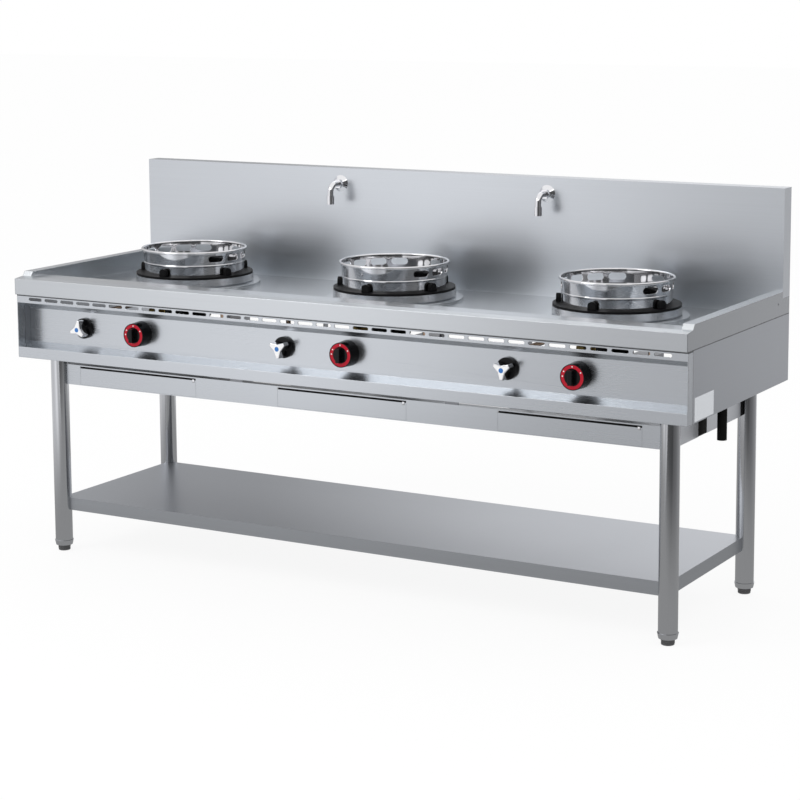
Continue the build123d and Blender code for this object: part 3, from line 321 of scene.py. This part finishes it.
@dataclass(frozen=True)
class SteelFinish:
    """Sheet, tube or bar of metal with brush lines.

    Attributes:
        name: material name.
        colour: base colour, linear.
        roughness: mean roughness.
        grain: which way the brush lines run.
        line_depth: how strongly the lines catch light.
        smudge: how much the roughness drifts over the sheet.
        zones: painted shade in joint gaps and on folded ends.
        edge_r: radius of its bent edges as light shows it.
    """

    name: str
    colour: tuple[float, float, float]
    roughness: float = 0.3
    grain: Grain = Grain.ALONG_X
    line_depth: float = 0.5
    smudge: float = 0.06
    zones: tuple[Zone, ...] = ()
    edge_r: float = 0.0

    def make(self, group: bpy.types.NodeTree) -> bpy.types.Material:
        """Builds the material.

        Args:
            group: the brushed sheet group.

        Returns:
            The new material.
        """
        material, tree = new_material(self.name)
        shader = tree.nodes["Principled BSDF"]
        shader.inputs["Metallic"].default_value = 1.0
        sheet = add_node(tree, "ShaderNodeGroup", node_tree=group)
        set_inputs(sheet, {"Colour": (*self.colour, 1.0), "Stretch": self.grain.value,
                           "Roughness": self.roughness, "Line Depth": self.line_depth, "Smudge": self.smudge})
        bump = add_node(tree, "ShaderNodeBump")
        set_inputs(bump, {"Strength": BRUSH_BUMP, "Distance": BRUSH_DEPTH})
        if self.edge_r > 0.0:
            bend = add_node(tree, "ShaderNodeBevel", samples=BEND_SAMPLES)
            bend.inputs["Radius"].default_value = self.edge_r
            tree.links.new(bend.outputs["Normal"], bump.inputs["Normal"])
        colour = sheet.outputs["Colour"]
        for zone in self.zones:
            colour = zone.darken(tree, colour)
        tree.links.new(colour, shader.inputs["Base Color"])
        tree.links.new(sheet.outputs["Roughness"], shader.inputs["Roughness"])
        tree.links.new(sheet.outputs["Height"], bump.inputs["Height"])
        tree.links.new(bump.outputs["Normal"], shader.inputs["Normal"])
        return material


@dataclass(frozen=True)
class SolidFinish:
    """Casting, moulded plastic, rubber or print with a fine grain.

    Attributes:
        name: material name.
        colour: base colour, linear.
        worn: colour of its lighter patches.
        roughness: lowest roughness.
        scale: grain per metre.
        bump: depth of the grain in metres.
        wear: how much of the lighter colour shows.
        metallic: 1 for bare metal.
        specular: strength of its reflections.
    """

    name: str
    colour: tuple[float, float, float]
    worn: tuple[float, float, float]
    roughness: float = 0.4
    scale: float = 400.0
    bump: float = 0.05 * MM
    wear: float = 0.3
    metallic: float = 0.0
    specular: float = 0.5

    def make(self, group: bpy.types.NodeTree) -> bpy.types.Material:
        """Builds the material.

        Args:
            group: the speckle group.

        Returns:
            The new material.
        """
        material, tree = new_material(self.name)
        shader = tree.nodes["Principled BSDF"]
        set_inputs(shader, {"Metallic": self.metallic, "Specular IOR Level": self.specular})
        grain = add_node(tree, "ShaderNodeGroup", node_tree=group)
        set_inputs(grain, {"Colour": (*self.colour, 1.0), "Worn Colour": (*self.worn, 1.0),
                           "Scale": self.scale, "Roughness": self.roughness, "Wear": self.wear})
        bump = add_node(tree, "ShaderNodeBump")
        set_inputs(bump, {"Strength": GRAIN_BUMP, "Distance": self.bump})
        tree.links.new(grain.outputs["Colour"], shader.inputs["Base Color"])
        tree.links.new(grain.outputs["Roughness"], shader.inputs["Roughness"])
        tree.links.new(grain.outputs["Height"], bump.inputs["Height"])
        tree.links.new(bump.outputs["Normal"], shader.inputs["Normal"])
        return material


STEEL = (0.585, 0.61, 0.64)
# painted light: the worktop's steel is the sheet steel above set lighter, a lit copy for the top
LIT_TOP_STEEL = (0.665, 0.69, 0.715)
SIDE_STEEL = (0.5, 0.52, 0.55)
# painted shadow: JOINT_SHADE darkens thin lines in the joint gaps under the worktop and at the side panels'
# front edges
JOINT_SHADE = 0.2
# painted shade: END_SHADE darkens the worktop's end faces and BAND_SHADE its front band, as if turned from
# the light
END_SHADE = 0.66
BAND_SHADE = 0.89
END_X = 1.0245            # just behind the faces of the worktop's ends
BAND_Y = -0.3493          # just behind the face of its front band
PANEL_TOP_Z = 0.7531      # the side panels' painted shadow line under the worktop starts here
PANEL_FRONT_Y = -0.3115   # and the one at their front edge here
FASCIA_TOP_Z = 0.7503     # the fascia's painted shadow line under the front band starts here
# painted shade on the worktop's ends and front band
PAINTED_EDGE_SHADE = (Zone(Axis.X, END_X, Past.ABOVE, END_SHADE), Zone(Axis.X, -END_X, Past.BELOW, END_SHADE),
                Zone(Axis.Y, BAND_Y, Past.BELOW, BAND_SHADE))
# painted shadow lines in the side panels' joints
PANEL_JOINT_SHADOW = (Zone(Axis.Z, PANEL_TOP_Z, Past.ABOVE, JOINT_SHADE),
                Zone(Axis.Y, PANEL_FRONT_Y, Past.BELOW, JOINT_SHADE))
# painted shadow line on the fascia just under the worktop's front band
UNDER_BAND_SHADOW = (Zone(Axis.Z, FASCIA_TOP_Z, Past.ABOVE, JOINT_SHADE),)
FINISHES = {
    "sheet": SteelFinish("sheet_brushed_along", STEEL, 0.24),
    "worktop": SteelFinish("worktop_brushed_along", LIT_TOP_STEEL, 0.22, zones=PAINTED_EDGE_SHADE, edge_r=2.5 * MM),
    "fascia": SteelFinish("fascia_brushed_along", STEEL, 0.24, zones=UNDER_BAND_SHADOW, edge_r=1.5 * MM),
    "splashback": SteelFinish("splashback_brushed", (0.62, 0.645, 0.675), 0.27, Grain.ALONG_X, 0.4, 0.05),
    "side": SteelFinish("side_panel_brushed", SIDE_STEEL, 0.28, Grain.ALONG_Y, 0.4, zones=PANEL_JOINT_SHADOW),
    "shelf": SteelFinish("shelf_brushed", SIDE_STEEL, 0.3, Grain.ALONG_X, 0.5),
    "tube": SteelFinish("leg_tube_drawn", (0.6, 0.61, 0.63), 0.1, Grain.ALONG_Z, 0.3, 0.03),
    "collar": SteelFinish("collar_turned", (0.74, 0.75, 0.77), 0.2, Grain.NONE, 0.2),
    "apron_end": SteelFinish("apron_end_brushed", (0.74, 0.76, 0.79), 0.3, Grain.ALONG_Y, 0.4),
    "frame": SteelFinish("frame_mill", (0.35, 0.36, 0.38), 0.4, Grain.ALONG_X, 0.6),
    "chrome": SteelFinish("ring_polished", (0.72, 0.72, 0.735), 0.035, Grain.NONE, 0.02, 0.02),
    "tap": SteelFinish("tap_polished", (0.82, 0.82, 0.84), 0.05, Grain.NONE, 0.02, 0.02),
    "copper": SteelFinish("pipe_drawn", (0.6, 0.42, 0.3), 0.25, Grain.ALONG_X, 0.3),
    "zinc": SolidFinish("pipe_zinc", (0.35, 0.36, 0.37), (0.5, 0.5, 0.5), 0.45, 120.0, metallic=0.7),
    "brass": SolidFinish("brass_machined", (0.55, 0.4, 0.14), (0.65, 0.5, 0.22), 0.3, 300.0, metallic=1.0),
    "iron": SolidFinish("iron_cast", (0.004, 0.004, 0.0045), (0.01, 0.01, 0.011), 0.42, 700.0, 0.25 * MM, 0.4,
                        specular=0.1),
    "black": SolidFinish("black_moulded", (0.003, 0.003, 0.0035), (0.006, 0.006, 0.007), 0.14, 500.0,
                         specular=0.2),
    "red": SolidFinish("red_printed", (0.4, 0.004, 0.018), (0.45, 0.008, 0.024), 0.35, 400.0, specular=0.2),
    "white": SolidFinish("white_printed", (0.8, 0.8, 0.8), (0.7, 0.7, 0.7), 0.4),
    "blue": SolidFinish("blue_printed", (0.02, 0.14, 0.42), (0.03, 0.17, 0.46), 0.4),
    # black rubber, also used as painted shade on the tray strips and in the apron notches
    "rubber": SolidFinish("black_rubber_and_shade", (0.004, 0.004, 0.004), (0.008, 0.008, 0.008), 0.55, 500.0,
                          specular=0.1),
    "foot": SolidFinish("foot_zinc", (0.12, 0.12, 0.125), (0.3, 0.3, 0.3), 0.3, 500.0, metallic=0.8),
    "foil": SolidFinish("foil_blank", (0.6, 0.62, 0.65), (0.68, 0.7, 0.73), 0.45, 200.0, metallic=0.1),
}
NODE_FINISH = {
    "worktop": "worktop", "fascia": "fascia", "splashback": "splashback", "splashback_rear": "splashback",
    "side_panel_left": "side", "side_panel_right": "side", "undershelf": "shelf", "shelf_stiffeners": "frame",
    "legs": "tube", "foot_sleeves": "tube", "leg_sockets": "frame", "apron_front": "sheet",
    "apron_rear": "sheet", "apron_sides": "apron_end", "apron_hangers": "frame", "tray_runners": "frame",
    "frame_front": "frame", "frame_rear": "frame", "frame_sides": "frame", "body_posts": "frame",
    "worktop_ribs": "frame", "burner_cradles": "frame", "burner_collars": "collar", "burners": "iron",
    "pilots_and_thermocouples": "copper", "gas_manifold": "zinc", "gas_valves": "brass",
    "gas_feed_pipes": "copper", "gas_injectors": "brass", "water_manifold": "zinc", "water_valves": "brass",
    "water_pipes": "copper",
    "rinse_nozzle": "tap", "wall_spouts": "tap", "spout_nozzles": "tap", "tap_roses": "black",
    "waste_pipe": "rubber", "blank_data_plate": "foil",
}
GROUP_FINISH = {
    "drip_tray": "sheet", "foot_front": "foot", "foot_rear": "foot", "pan_ring": "iron", "wok_ring": "chrome",
    "gas_knob": "black", "knob_scale_ring": "red", "tap_handle": "tap",
}


class Materials:
    """All finishes of the range, made once."""

    def __init__(self) -> None:
        """Builds the shared groups and every material."""
        groups = {SteelFinish: brush_group(), SolidFinish: speckle_group()}
        self.made = {key: finish.make(groups[type(finish)]) for key, finish in FINISHES.items()}

    def dress_node(self, node: str) -> None:
        """Gives a frame node its finish.

        Args:
            node: the node's name.
        """
        key = NODE_FINISH.get(node)
        if key is None:
            key = next(value for start, value in GROUP_FINISH.items() if node.startswith(start))
        mesh = frame["nodes"][node].data
        mesh.materials.clear()
        mesh.materials.append(self.made[key])

    def give(self, piece: bpy.types.Object, key: str) -> None:
        """Gives a new piece one finish."""
        piece.data.materials.clear()
        piece.data.materials.append(self.made[key])


# ---------------------------------------------------------------- pieces made here
SMOOTH_ANGLE = 40.0       # edges sharper than this stay sharp, in degrees
DISC_TAPER = 0.86


def finish_mesh(name: str, mesh: bmesh.types.BMesh, body: str) -> bpy.types.Object:
    """Turns a bmesh into a piece that rides on a body.

    Args:
        name: the piece's name.
        mesh: its shape, in the frame's place.
        body: the body it rides on.

    Returns:
        The new object.
    """
    bmesh.ops.recalc_face_normals(mesh, faces=mesh.faces)
    data = bpy.data.meshes.new(name)
    for face in mesh.faces:
        face.smooth = True
    for edge in mesh.edges:
        if len(edge.link_faces) == 2 and edge.calc_face_angle() > math.radians(SMOOTH_ANGLE):
            edge.smooth = False
    mesh.to_mesh(data)
    mesh.free()
    piece = bpy.data.objects.new(name, data)
    bpy.context.scene.collection.objects.link(piece)
    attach(piece, body)
    LOG.info("piece %s on %s", name, body)
    return piece


def disc(mesh: bmesh.types.BMesh, centre: Vector, radius: float, depth: float, axis: Vector,
         segments: int = 24) -> None:
    """Adds a low tapered disc to a mesh.

    Args:
        mesh: the mesh to add to.
        centre: middle of the disc's back face.
        radius: its radius.
        depth: its height along the axis.
        axis: the way it faces.
        segments: sides of the disc.
    """
    turn = axis.to_track_quat("Z", "Y").to_matrix().to_4x4()
    place = Matrix.Translation(centre + axis * depth / 2) @ turn
    made = bmesh.ops.create_cone(mesh, cap_ends=True, segments=segments, radius1=radius,
                                 radius2=radius * DISC_TAPER, depth=depth, matrix=place)
    bmesh.ops.recalc_face_normals(mesh, faces=list({f for v in made["verts"] for f in v.link_faces}))


@dataclass
class Controls:
    """Marks on the knobs and tap handles."""

    dot_r: float = 1.9 * MM
    dot_h: float = 0.4 * MM
    dot_sink: float = 0.1 * MM
    dots_at: float = 0.86
    scale_dots: tuple[float, ...] = (90.0, 30.0, 150.0, 178.0)
    blue_r: float = 6.5 * MM
    face_inset: float = 2.4 * MM
    face_t: float = 0.5 * MM
    face_near: float = 0.05 * MM
    blue_segments: int = 32

    def knob_marks(self, place: str, materials: Materials) -> None:
        """White dots on a knob's scale ring.

        Args:
            place: which of the three knobs.
            materials: all finishes.
        """
        low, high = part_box(f"knob_scale_ring_{place}")
        middle = (low + high) / 2
        ring_r = (high.x - low.x) / 2 * self.dots_at
        mesh = bmesh.new()
        for angle in self.scale_dots:
            turn = math.radians(angle)
            at = Vector((middle.x + ring_r * math.cos(turn), low.y + self.dot_sink,
                         middle.z + ring_r * math.sin(turn)))
            disc(mesh, at, self.dot_r, self.dot_h, TO_FRONT)
        dots = finish_mesh(f"knob_dots_{place}", mesh, f"gas_knob_{place}")
        materials.give(dots, "white")

    def tap_marks(self, place: str, materials: Materials) -> None:
        """White face with a blue dot on a three-lobed tap handle.

        Args:
            place: which of the three taps.
            materials: all finishes.
        """
        low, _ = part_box(f"tap_handle_{place}")
        centre = self.handle_axis(place)
        source = frame["nodes"][f"tap_handle_{place}"].data
        front = [v.co.copy() for v in source.vertices if abs(v.co.y - low.y) < self.face_near]
        rim = sorted({(round(math.atan2(c.z - centre.z, c.x - centre.x), 4), c.x, c.z) for c in front})
        mesh = bmesh.new()
        rings = []
        for depth in (self.face_t, -self.face_t):
            ring = []
            for _, x, z in rim:
                out = Vector((x - centre.x, 0.0, z - centre.z))
                out -= out.normalized() * (self.face_inset if depth < 0 else self.face_inset / 2)
                ring.append(mesh.verts.new((centre.x + out.x, low.y + depth, centre.z + out.z)))
            rings.append(ring)
        for i in range(len(rim)):
            j = (i + 1) % len(rim)
            mesh.faces.new((rings[0][i], rings[0][j], rings[1][j], rings[1][i]))
        for ring in rings:
            mesh.faces.new(ring)
        face = finish_mesh(f"tap_face_{place}", mesh, f"tap_handle_{place}")
        materials.give(face, "white")
        mesh = bmesh.new()
        centre.y = low.y - self.face_t
        disc(mesh, centre, self.blue_r, self.face_t / 2, TO_FRONT, self.blue_segments)
        dot = finish_mesh(f"tap_dot_{place}", mesh, f"tap_handle_{place}")
        materials.give(dot, "blue")

    def handle_axis(self, place: str) -> Vector:
        """The point on a tap's turning axis, from the record's joint.

        Args:
            place: which of the three taps.

        Returns:
            The point.
        """
        joints = frame["record"]["behaviour"]["joints"]
        joint = next(j for j in joints if j["name"] == f"tap_turn_{place}")
        return Vector(joint["pos_m"])

    def build(self, materials: Materials) -> None:
        """Adds the marks of every control.

        Args:
            materials: all finishes.
        """
        for place in PLACES:
            self.knob_marks(place, materials)
            self.tap_marks(place, materials)


def rounded_block(mesh: bmesh.types.BMesh, low: Vector, high: Vector, rounding: float) -> None:
    """Adds a block with rounded edges to a mesh.

    Args:
        mesh: the mesh to add to.
        low: its lower corner.
        high: its upper corner.
        rounding: radius of its edges.
    """
    size = high - low
    place = Matrix.Translation((low + high) / 2) @ Matrix.Diagonal((*size, 1.0))
    made = bmesh.ops.create_cube(mesh, size=1.0, matrix=place)
    edges = list({edge for vert in made["verts"] for edge in vert.link_edges})
    bmesh.ops.bevel(mesh, geom=edges, offset=rounding, segments=2, profile=0.5, affect="EDGES", material=-1)


@dataclass
class Screws:
    """Small dark screw heads under the body's edges and in its side bands."""

    head_r: float = 3.2 * MM
    head_h: float = 1.8 * MM
    band_screw_y: float = 0.266
    band_screw_drop: float = 29.0 * MM
    under_side_y: float = 0.243
    lip_depth: float = 15.0 * MM
    lip_spots: tuple[float, ...] = (0.89, 0.918, 1.0, -0.985, -0.962)

    def build(self, materials: Materials) -> None:
        """Adds all the screw heads as one piece.

        Args:
            materials: all finishes.
        """
        mesh = bmesh.new()
        low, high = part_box("worktop")
        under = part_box("fascia")[0]
        for x, way in ((high.x - self.head_h, 1.0), (low.x + self.head_h, -1.0)):
            place = Vector((x, self.band_screw_y, high.z - self.band_screw_drop))
            disc(mesh, place, self.head_r, self.head_h, Vector((way, 0.0, 0.0)))
            below = Vector((x - way * 2 * self.head_r, self.under_side_y, under.z))
            disc(mesh, below, self.head_r, self.head_h, DOWN)
        for x in self.lip_spots:
            disc(mesh, Vector((x, under.y + self.lip_depth, under.z)), self.head_r, self.head_h, DOWN)
        heads = finish_mesh("screw_heads", mesh, RANGE_BODY)
        materials.give(heads, "rubber")


@dataclass
class ApronNotchShade:
    """Black blocks in the notches of the right apron, painted shade standing for the dark inside seen through
    them.
    """

    starts: tuple[float, ...] = (-78.0 * MM, 213.0 * MM)
    ends: tuple[float, ...] = (-21.0 * MM, 236.0 * MM)
    behind: float = 0.6 * MM
    thick: float = 8.0 * MM
    play: float = 0.4 * MM
    flange: float = 2.4 * MM
    rounding: float = MM

    def build(self, materials: Materials) -> None:
        """Adds both painted-shade blocks as one piece.

        Args:
            materials: all finishes.
        """
        low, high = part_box("apron_sides")
        mesh = bmesh.new()
        # painted shade: black blocks fill the notches where the range's shaded inside shows
        for start, end in zip(self.starts, self.ends):
            corner = Vector((high.x - self.behind - self.thick, start + self.play, low.z))
            far = Vector((high.x - self.behind, end - self.play, high.z - self.flange))
            rounded_block(mesh, corner, far, self.rounding)
        shade_blocks = finish_mesh("apron_notch_shade", mesh, RANGE_BODY)
        materials.give(shade_blocks, "rubber")


@dataclass
class TrayShadowAndCatch:
    """Black strip of painted shadow and a bright catch at the top of a drip tray's front."""

    rise: float = 5.1 * MM
    depth: float = 9.0 * MM
    setback: float = 0.5 * MM
    catch_w: float = 7.0 * MM
    catch_h: float = 9.0 * MM
    catch_out: float = 1.2 * MM
    catch_in: float = 4.0 * MM
    end_play: float = MM
    rounding: float = 0.5 * MM

    def build(self, materials: Materials) -> None:
        """Adds the painted-shadow strip and the catch of every tray.

        Args:
            materials: all finishes.
        """
        for place in PLACES:
            body = f"drip_tray_{place}"
            low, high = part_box(body)
            mesh = bmesh.new()
            # painted shadow: a black strip put where the gap above the tray's front lies in shadow
            start = Vector((low.x + self.end_play, low.y + self.setback, high.z))
            end = Vector((high.x - self.end_play, low.y + self.depth, high.z + self.rise))
            rounded_block(mesh, start, end, self.rounding)
            strip = finish_mesh(f"tray_shadow_strip_{place}", mesh, body)
            materials.give(strip, "rubber")
            mesh = bmesh.new()
            right = high.x - self.catch_in
            top = high.z + self.rise / 2
            start = Vector((right - self.catch_w, low.y - self.catch_out, top - self.catch_h))
            end = Vector((right, low.y + self.setback, top))
            rounded_block(mesh, start, end, self.rounding)
            catch = finish_mesh(f"tray_catch_{place}", mesh, body)
            materials.give(catch, "tap")


# ---------------------------------------------------------------- studio
# Brightness of the studio boards by bearing, in degrees from +X towards +Y.
BOARD_SHADES = (
    (-180.0, 0.85), (-156.0, 0.75), (-138.0, 0.85), (-130.0, 1.0), (-123.0, 1.15), (-115.0, 1.12),
    (-107.0, 0.8), (-98.0, 0.6), (-90.0, 0.7), (-80.0, 0.95), (-77.0, 0.1), (-30.0, 0.08), (-24.0, 0.14),
    (0.0, 0.2), (35.0, 0.36), (60.0, 0.6), (78.0, 0.8), (95.0, 1.0), (112.0, 0.85), (128.0, 0.4),
    (150.0, 0.6), (180.0, 0.85),
)
BOARD_BLUE = 1.02         # the boards are a little cool
LAMPS = (("key", (-3.0, -4.0, 4.5), 90.0), ("fill", (4.0, -4.0, 3.5), 30.0))


def stage_mesh(name: str, mesh: bmesh.types.BMesh, material: bpy.types.Material) -> bpy.types.Object:
    """Turns a bmesh into a stage object, which isn't part of the range.

    Args:
        name: the object's name.
        mesh: its shape.
        material: its only material.

    Returns:
        The new object.
    """
    data = bpy.data.meshes.new(name)
    mesh.to_mesh(data)
    mesh.free()
    data.materials.append(material)
    made = bpy.data.objects.new(name, data)
    bpy.context.scene.collection.objects.link(made)
    return made


@dataclass
class Studio:
    """Floor, lights, world and camera."""

    focal_px: float = 2203.08
    image_px: float = 800.0
    sensor_mm: float = 36.0
    lens_shift: float = -0.15
    position: tuple[float, float, float] = (3.01038, -5.17242, 1.66318)
    yaw: float = 29.9074
    pitch: float = 8.0307
    roll: float = -0.3282
    floor_half: float = 30.0
    floor_glow: float = 0.9
    floor_grey: float = 0.9
    floor_roughness: float = 0.9
    surround_r: float = 4.5
    surround_h: float = 3.4
    surround_lift: float = 2.0 * MM
    surround_sides: int = 96
    near_grey: float = 0.38
    near_r: float = 1.2
    far_r: float = 3.0
    lamp_size: float = 3.0
    lamp_aim: tuple[float, float, float] = (0.0, 0.0, 0.7)

    def camera(self) -> None:
        """Places the camera at the photograph's viewpoint."""
        yaw, pitch, roll = (math.radians(v) for v in (self.yaw, self.pitch, self.roll))
        ahead = Vector((-math.sin(yaw) * math.cos(pitch), math.cos(yaw) * math.cos(pitch), -math.sin(pitch)))
        level = Vector((math.cos(yaw), math.sin(yaw), 0.0))
        above = level.cross(ahead)
        right = level * math.cos(roll) + above * math.sin(roll)
        up = above * math.cos(roll) - level * math.sin(roll)
        data = bpy.data.cameras.new("camera")
        data.sensor_width = self.sensor_mm
        data.lens = self.focal_px / self.image_px * self.sensor_mm
        data.shift_y = self.lens_shift
        camera = bpy.data.objects.new("camera", data)
        axes = Matrix((right, up, -ahead)).transposed().to_4x4()
        camera.matrix_world = Matrix.Translation(self.position) @ axes
        bpy.context.scene.collection.objects.link(camera)
        bpy.context.scene.camera = camera

    def seen_mask(self, tree: bpy.types.NodeTree) -> bpy.types.NodeSocket:
        """A mask that is 1 for camera, glossy and transmission rays.

        Args:
            tree: the material's nodes.

        Returns:
            The mask.
        """
        path = add_node(tree, "ShaderNodeLightPath")
        mask = path.outputs["Is Camera Ray"]
        for kind in ("Is Glossy Ray", "Is Transmission Ray"):
            either = add_node(tree, "ShaderNodeMath", operation="MAXIMUM")
            tree.links.new(mask, either.inputs[0])
            tree.links.new(path.outputs[kind], either.inputs[1])
            mask = either.outputs[0]
        return mask

    def world(self) -> None:
        """A plain white surround that lights the range softly."""
        world = bpy.data.worlds.new("studio")
        bpy.context.scene.world = world
        world.use_nodes = True
        set_inputs(world.node_tree.nodes["Background"], {"Color": WHITE, "Strength": 1.0})

    def floor(self) -> None:
        """A pale floor that keeps a faint shadow."""
        material, tree = new_material("floor_white")
        shader = tree.nodes["Principled BSDF"]
        set_inputs(shader, {"Base Color": (self.floor_grey, self.floor_grey, self.floor_grey, 1.0),
                            "Roughness": self.floor_roughness, "Specular IOR Level": 0.0})
        glow = add_node(tree, "ShaderNodeEmission")
        glow.inputs["Strength"].default_value = 1.0
        share = add_node(tree, "ShaderNodeMath", operation="MULTIPLY")
        share.inputs[1].default_value = self.floor_glow
        mix = add_node(tree, "ShaderNodeMixShader")
        tree.links.new(self.seen_mask(tree), share.inputs[0])
        tree.links.new(share.outputs[0], mix.inputs["Fac"])
        tree.links.new(shader.outputs[0], mix.inputs[1])
        tree.links.new(glow.outputs[0], mix.inputs[2])
        tree.links.new(mix.outputs[0], tree.nodes["Material Output"].inputs["Surface"])
        mesh = bmesh.new()
        bmesh.ops.create_grid(mesh, x_segments=1, y_segments=1, size=self.floor_half)
        stage_mesh("floor", mesh, material)

    def board_shades(self, tree: bpy.types.NodeTree) -> bpy.types.NodeSocket:
        """The boards' brightness by bearing.

        Args:
            tree: the material's nodes.

        Returns:
            The colour.
        """
        place = add_node(tree, "ShaderNodeTexCoord")
        parts = add_node(tree, "ShaderNodeSeparateXYZ")
        bearing = add_node(tree, "ShaderNodeMath", operation="ARCTAN2")
        around = add_node(tree, "ShaderNodeMath", operation="MULTIPLY_ADD")
        around.inputs[1].default_value = 1.0 / math.tau
        around.inputs[2].default_value = MIDDLE
        shades = add_node(tree, "ShaderNodeValToRGB")
        tree.links.new(place.outputs["Object"], parts.inputs[0])
        tree.links.new(parts.outputs["Y"], bearing.inputs[0])
        tree.links.new(parts.outputs["X"], bearing.inputs[1])
        tree.links.new(bearing.outputs[0], around.inputs[0])
        tree.links.new(around.outputs[0], shades.inputs["Fac"])
        ramp = shades.color_ramp
        while len(ramp.elements) < len(BOARD_SHADES):
            ramp.elements.new(MIDDLE)
        for element, (degrees, level) in zip(ramp.elements, BOARD_SHADES):
            element.position = degrees / 360.0 + MIDDLE
            element.color = (level, level, level * BOARD_BLUE, 1.0)
        return shades.outputs["Color"]

    def boards_material(self) -> bpy.types.Material:
        """Glowing boards, one plain grey near the range and shaded by bearing further out.

        Returns:
            The new material.
        """
        material, tree = new_material("studio_boards")
        place = add_node(tree, "ShaderNodeTexCoord")
        distance = add_node(tree, "ShaderNodeVectorMath", operation="LENGTH")
        far = add_node(tree, "ShaderNodeMapRange", interpolation_type="SMOOTHSTEP")
        set_inputs(far, {"From Min": self.near_r, "From Max": self.far_r})
        blend = add_node(tree, "ShaderNodeMix", data_type="RGBA")
        blend.inputs["A"].default_value = (self.near_grey, self.near_grey, self.near_grey, 1.0)
        glow = add_node(tree, "ShaderNodeEmission")
        tree.links.new(place.outputs["Object"], distance.inputs[0])
        tree.links.new(distance.outputs["Value"], far.inputs["Value"])
        tree.links.new(far.outputs[0], blend.inputs["Factor"])
        tree.links.new(self.board_shades(tree), blend.inputs["B"])
        tree.links.new(blend.outputs["Result"], glow.inputs["Color"])
        tree.links.new(glow.outputs[0], tree.nodes["Material Output"].inputs["Surface"])
        return material

    def surround(self) -> None:
        """A ring of studio boards round the range, which only its metal shows."""
        mesh = bmesh.new()
        base = bmesh.ops.create_circle(mesh, cap_ends=True, segments=self.surround_sides,
                                       radius=self.surround_r)
        rim = list({edge for vert in base["verts"] for edge in vert.link_edges})
        wall = bmesh.ops.extrude_edge_only(mesh, edges=rim)["geom"]
        raised = [part for part in wall if isinstance(part, bmesh.types.BMVert)]
        bmesh.ops.translate(mesh, vec=(0.0, 0.0, self.surround_h), verts=raised)
        bmesh.ops.translate(mesh, vec=(0.0, 0.0, self.surround_lift), verts=mesh.verts)
        boards = stage_mesh("studio_boards", mesh, self.boards_material())
        boards.visible_camera = False
        boards.visible_diffuse = False
        boards.visible_shadow = False
        boards.visible_transmission = False

    def lamp(self, name: str, place: tuple[float, float, float], power: float) -> None:
        """Adds a soft square lamp aimed at the range.

        Args:
            name: the lamp's name.
            place: where it hangs.
            power: its power in watts.
        """
        data = bpy.data.lights.new(name, "AREA")
        data.size = self.lamp_size
        data.energy = power
        lamp = bpy.data.objects.new(name, data)
        spot = Vector(place)
        turn = (Vector(self.lamp_aim) - spot).to_track_quat("-Z", "Y").to_matrix().to_4x4()
        lamp.matrix_world = Matrix.Translation(spot) @ turn
        bpy.context.scene.collection.objects.link(lamp)

    def build(self) -> None:
        """Sets up the whole studio."""
        bpy.context.scene.view_settings.view_transform = "Standard"
        self.camera()
        self.world()
        self.floor()
        self.surround()
        for name, place, power in LAMPS:
            self.lamp(name, place, power)


def main() -> None:
    """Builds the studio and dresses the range."""
    logging.basicConfig(level=logging.INFO, format="%(message)s")
    Studio().build()
    materials = Materials()
    for node in frame["nodes"]:
        materials.dress_node(node)
        LOG.info("dressed %s", node)
    Controls().build(materials)
    Screws().build(materials)
    ApronNotchShade().build(materials)
    TrayShadowAndCatch().build(materials)


if __name__ == "__main__":
    main()
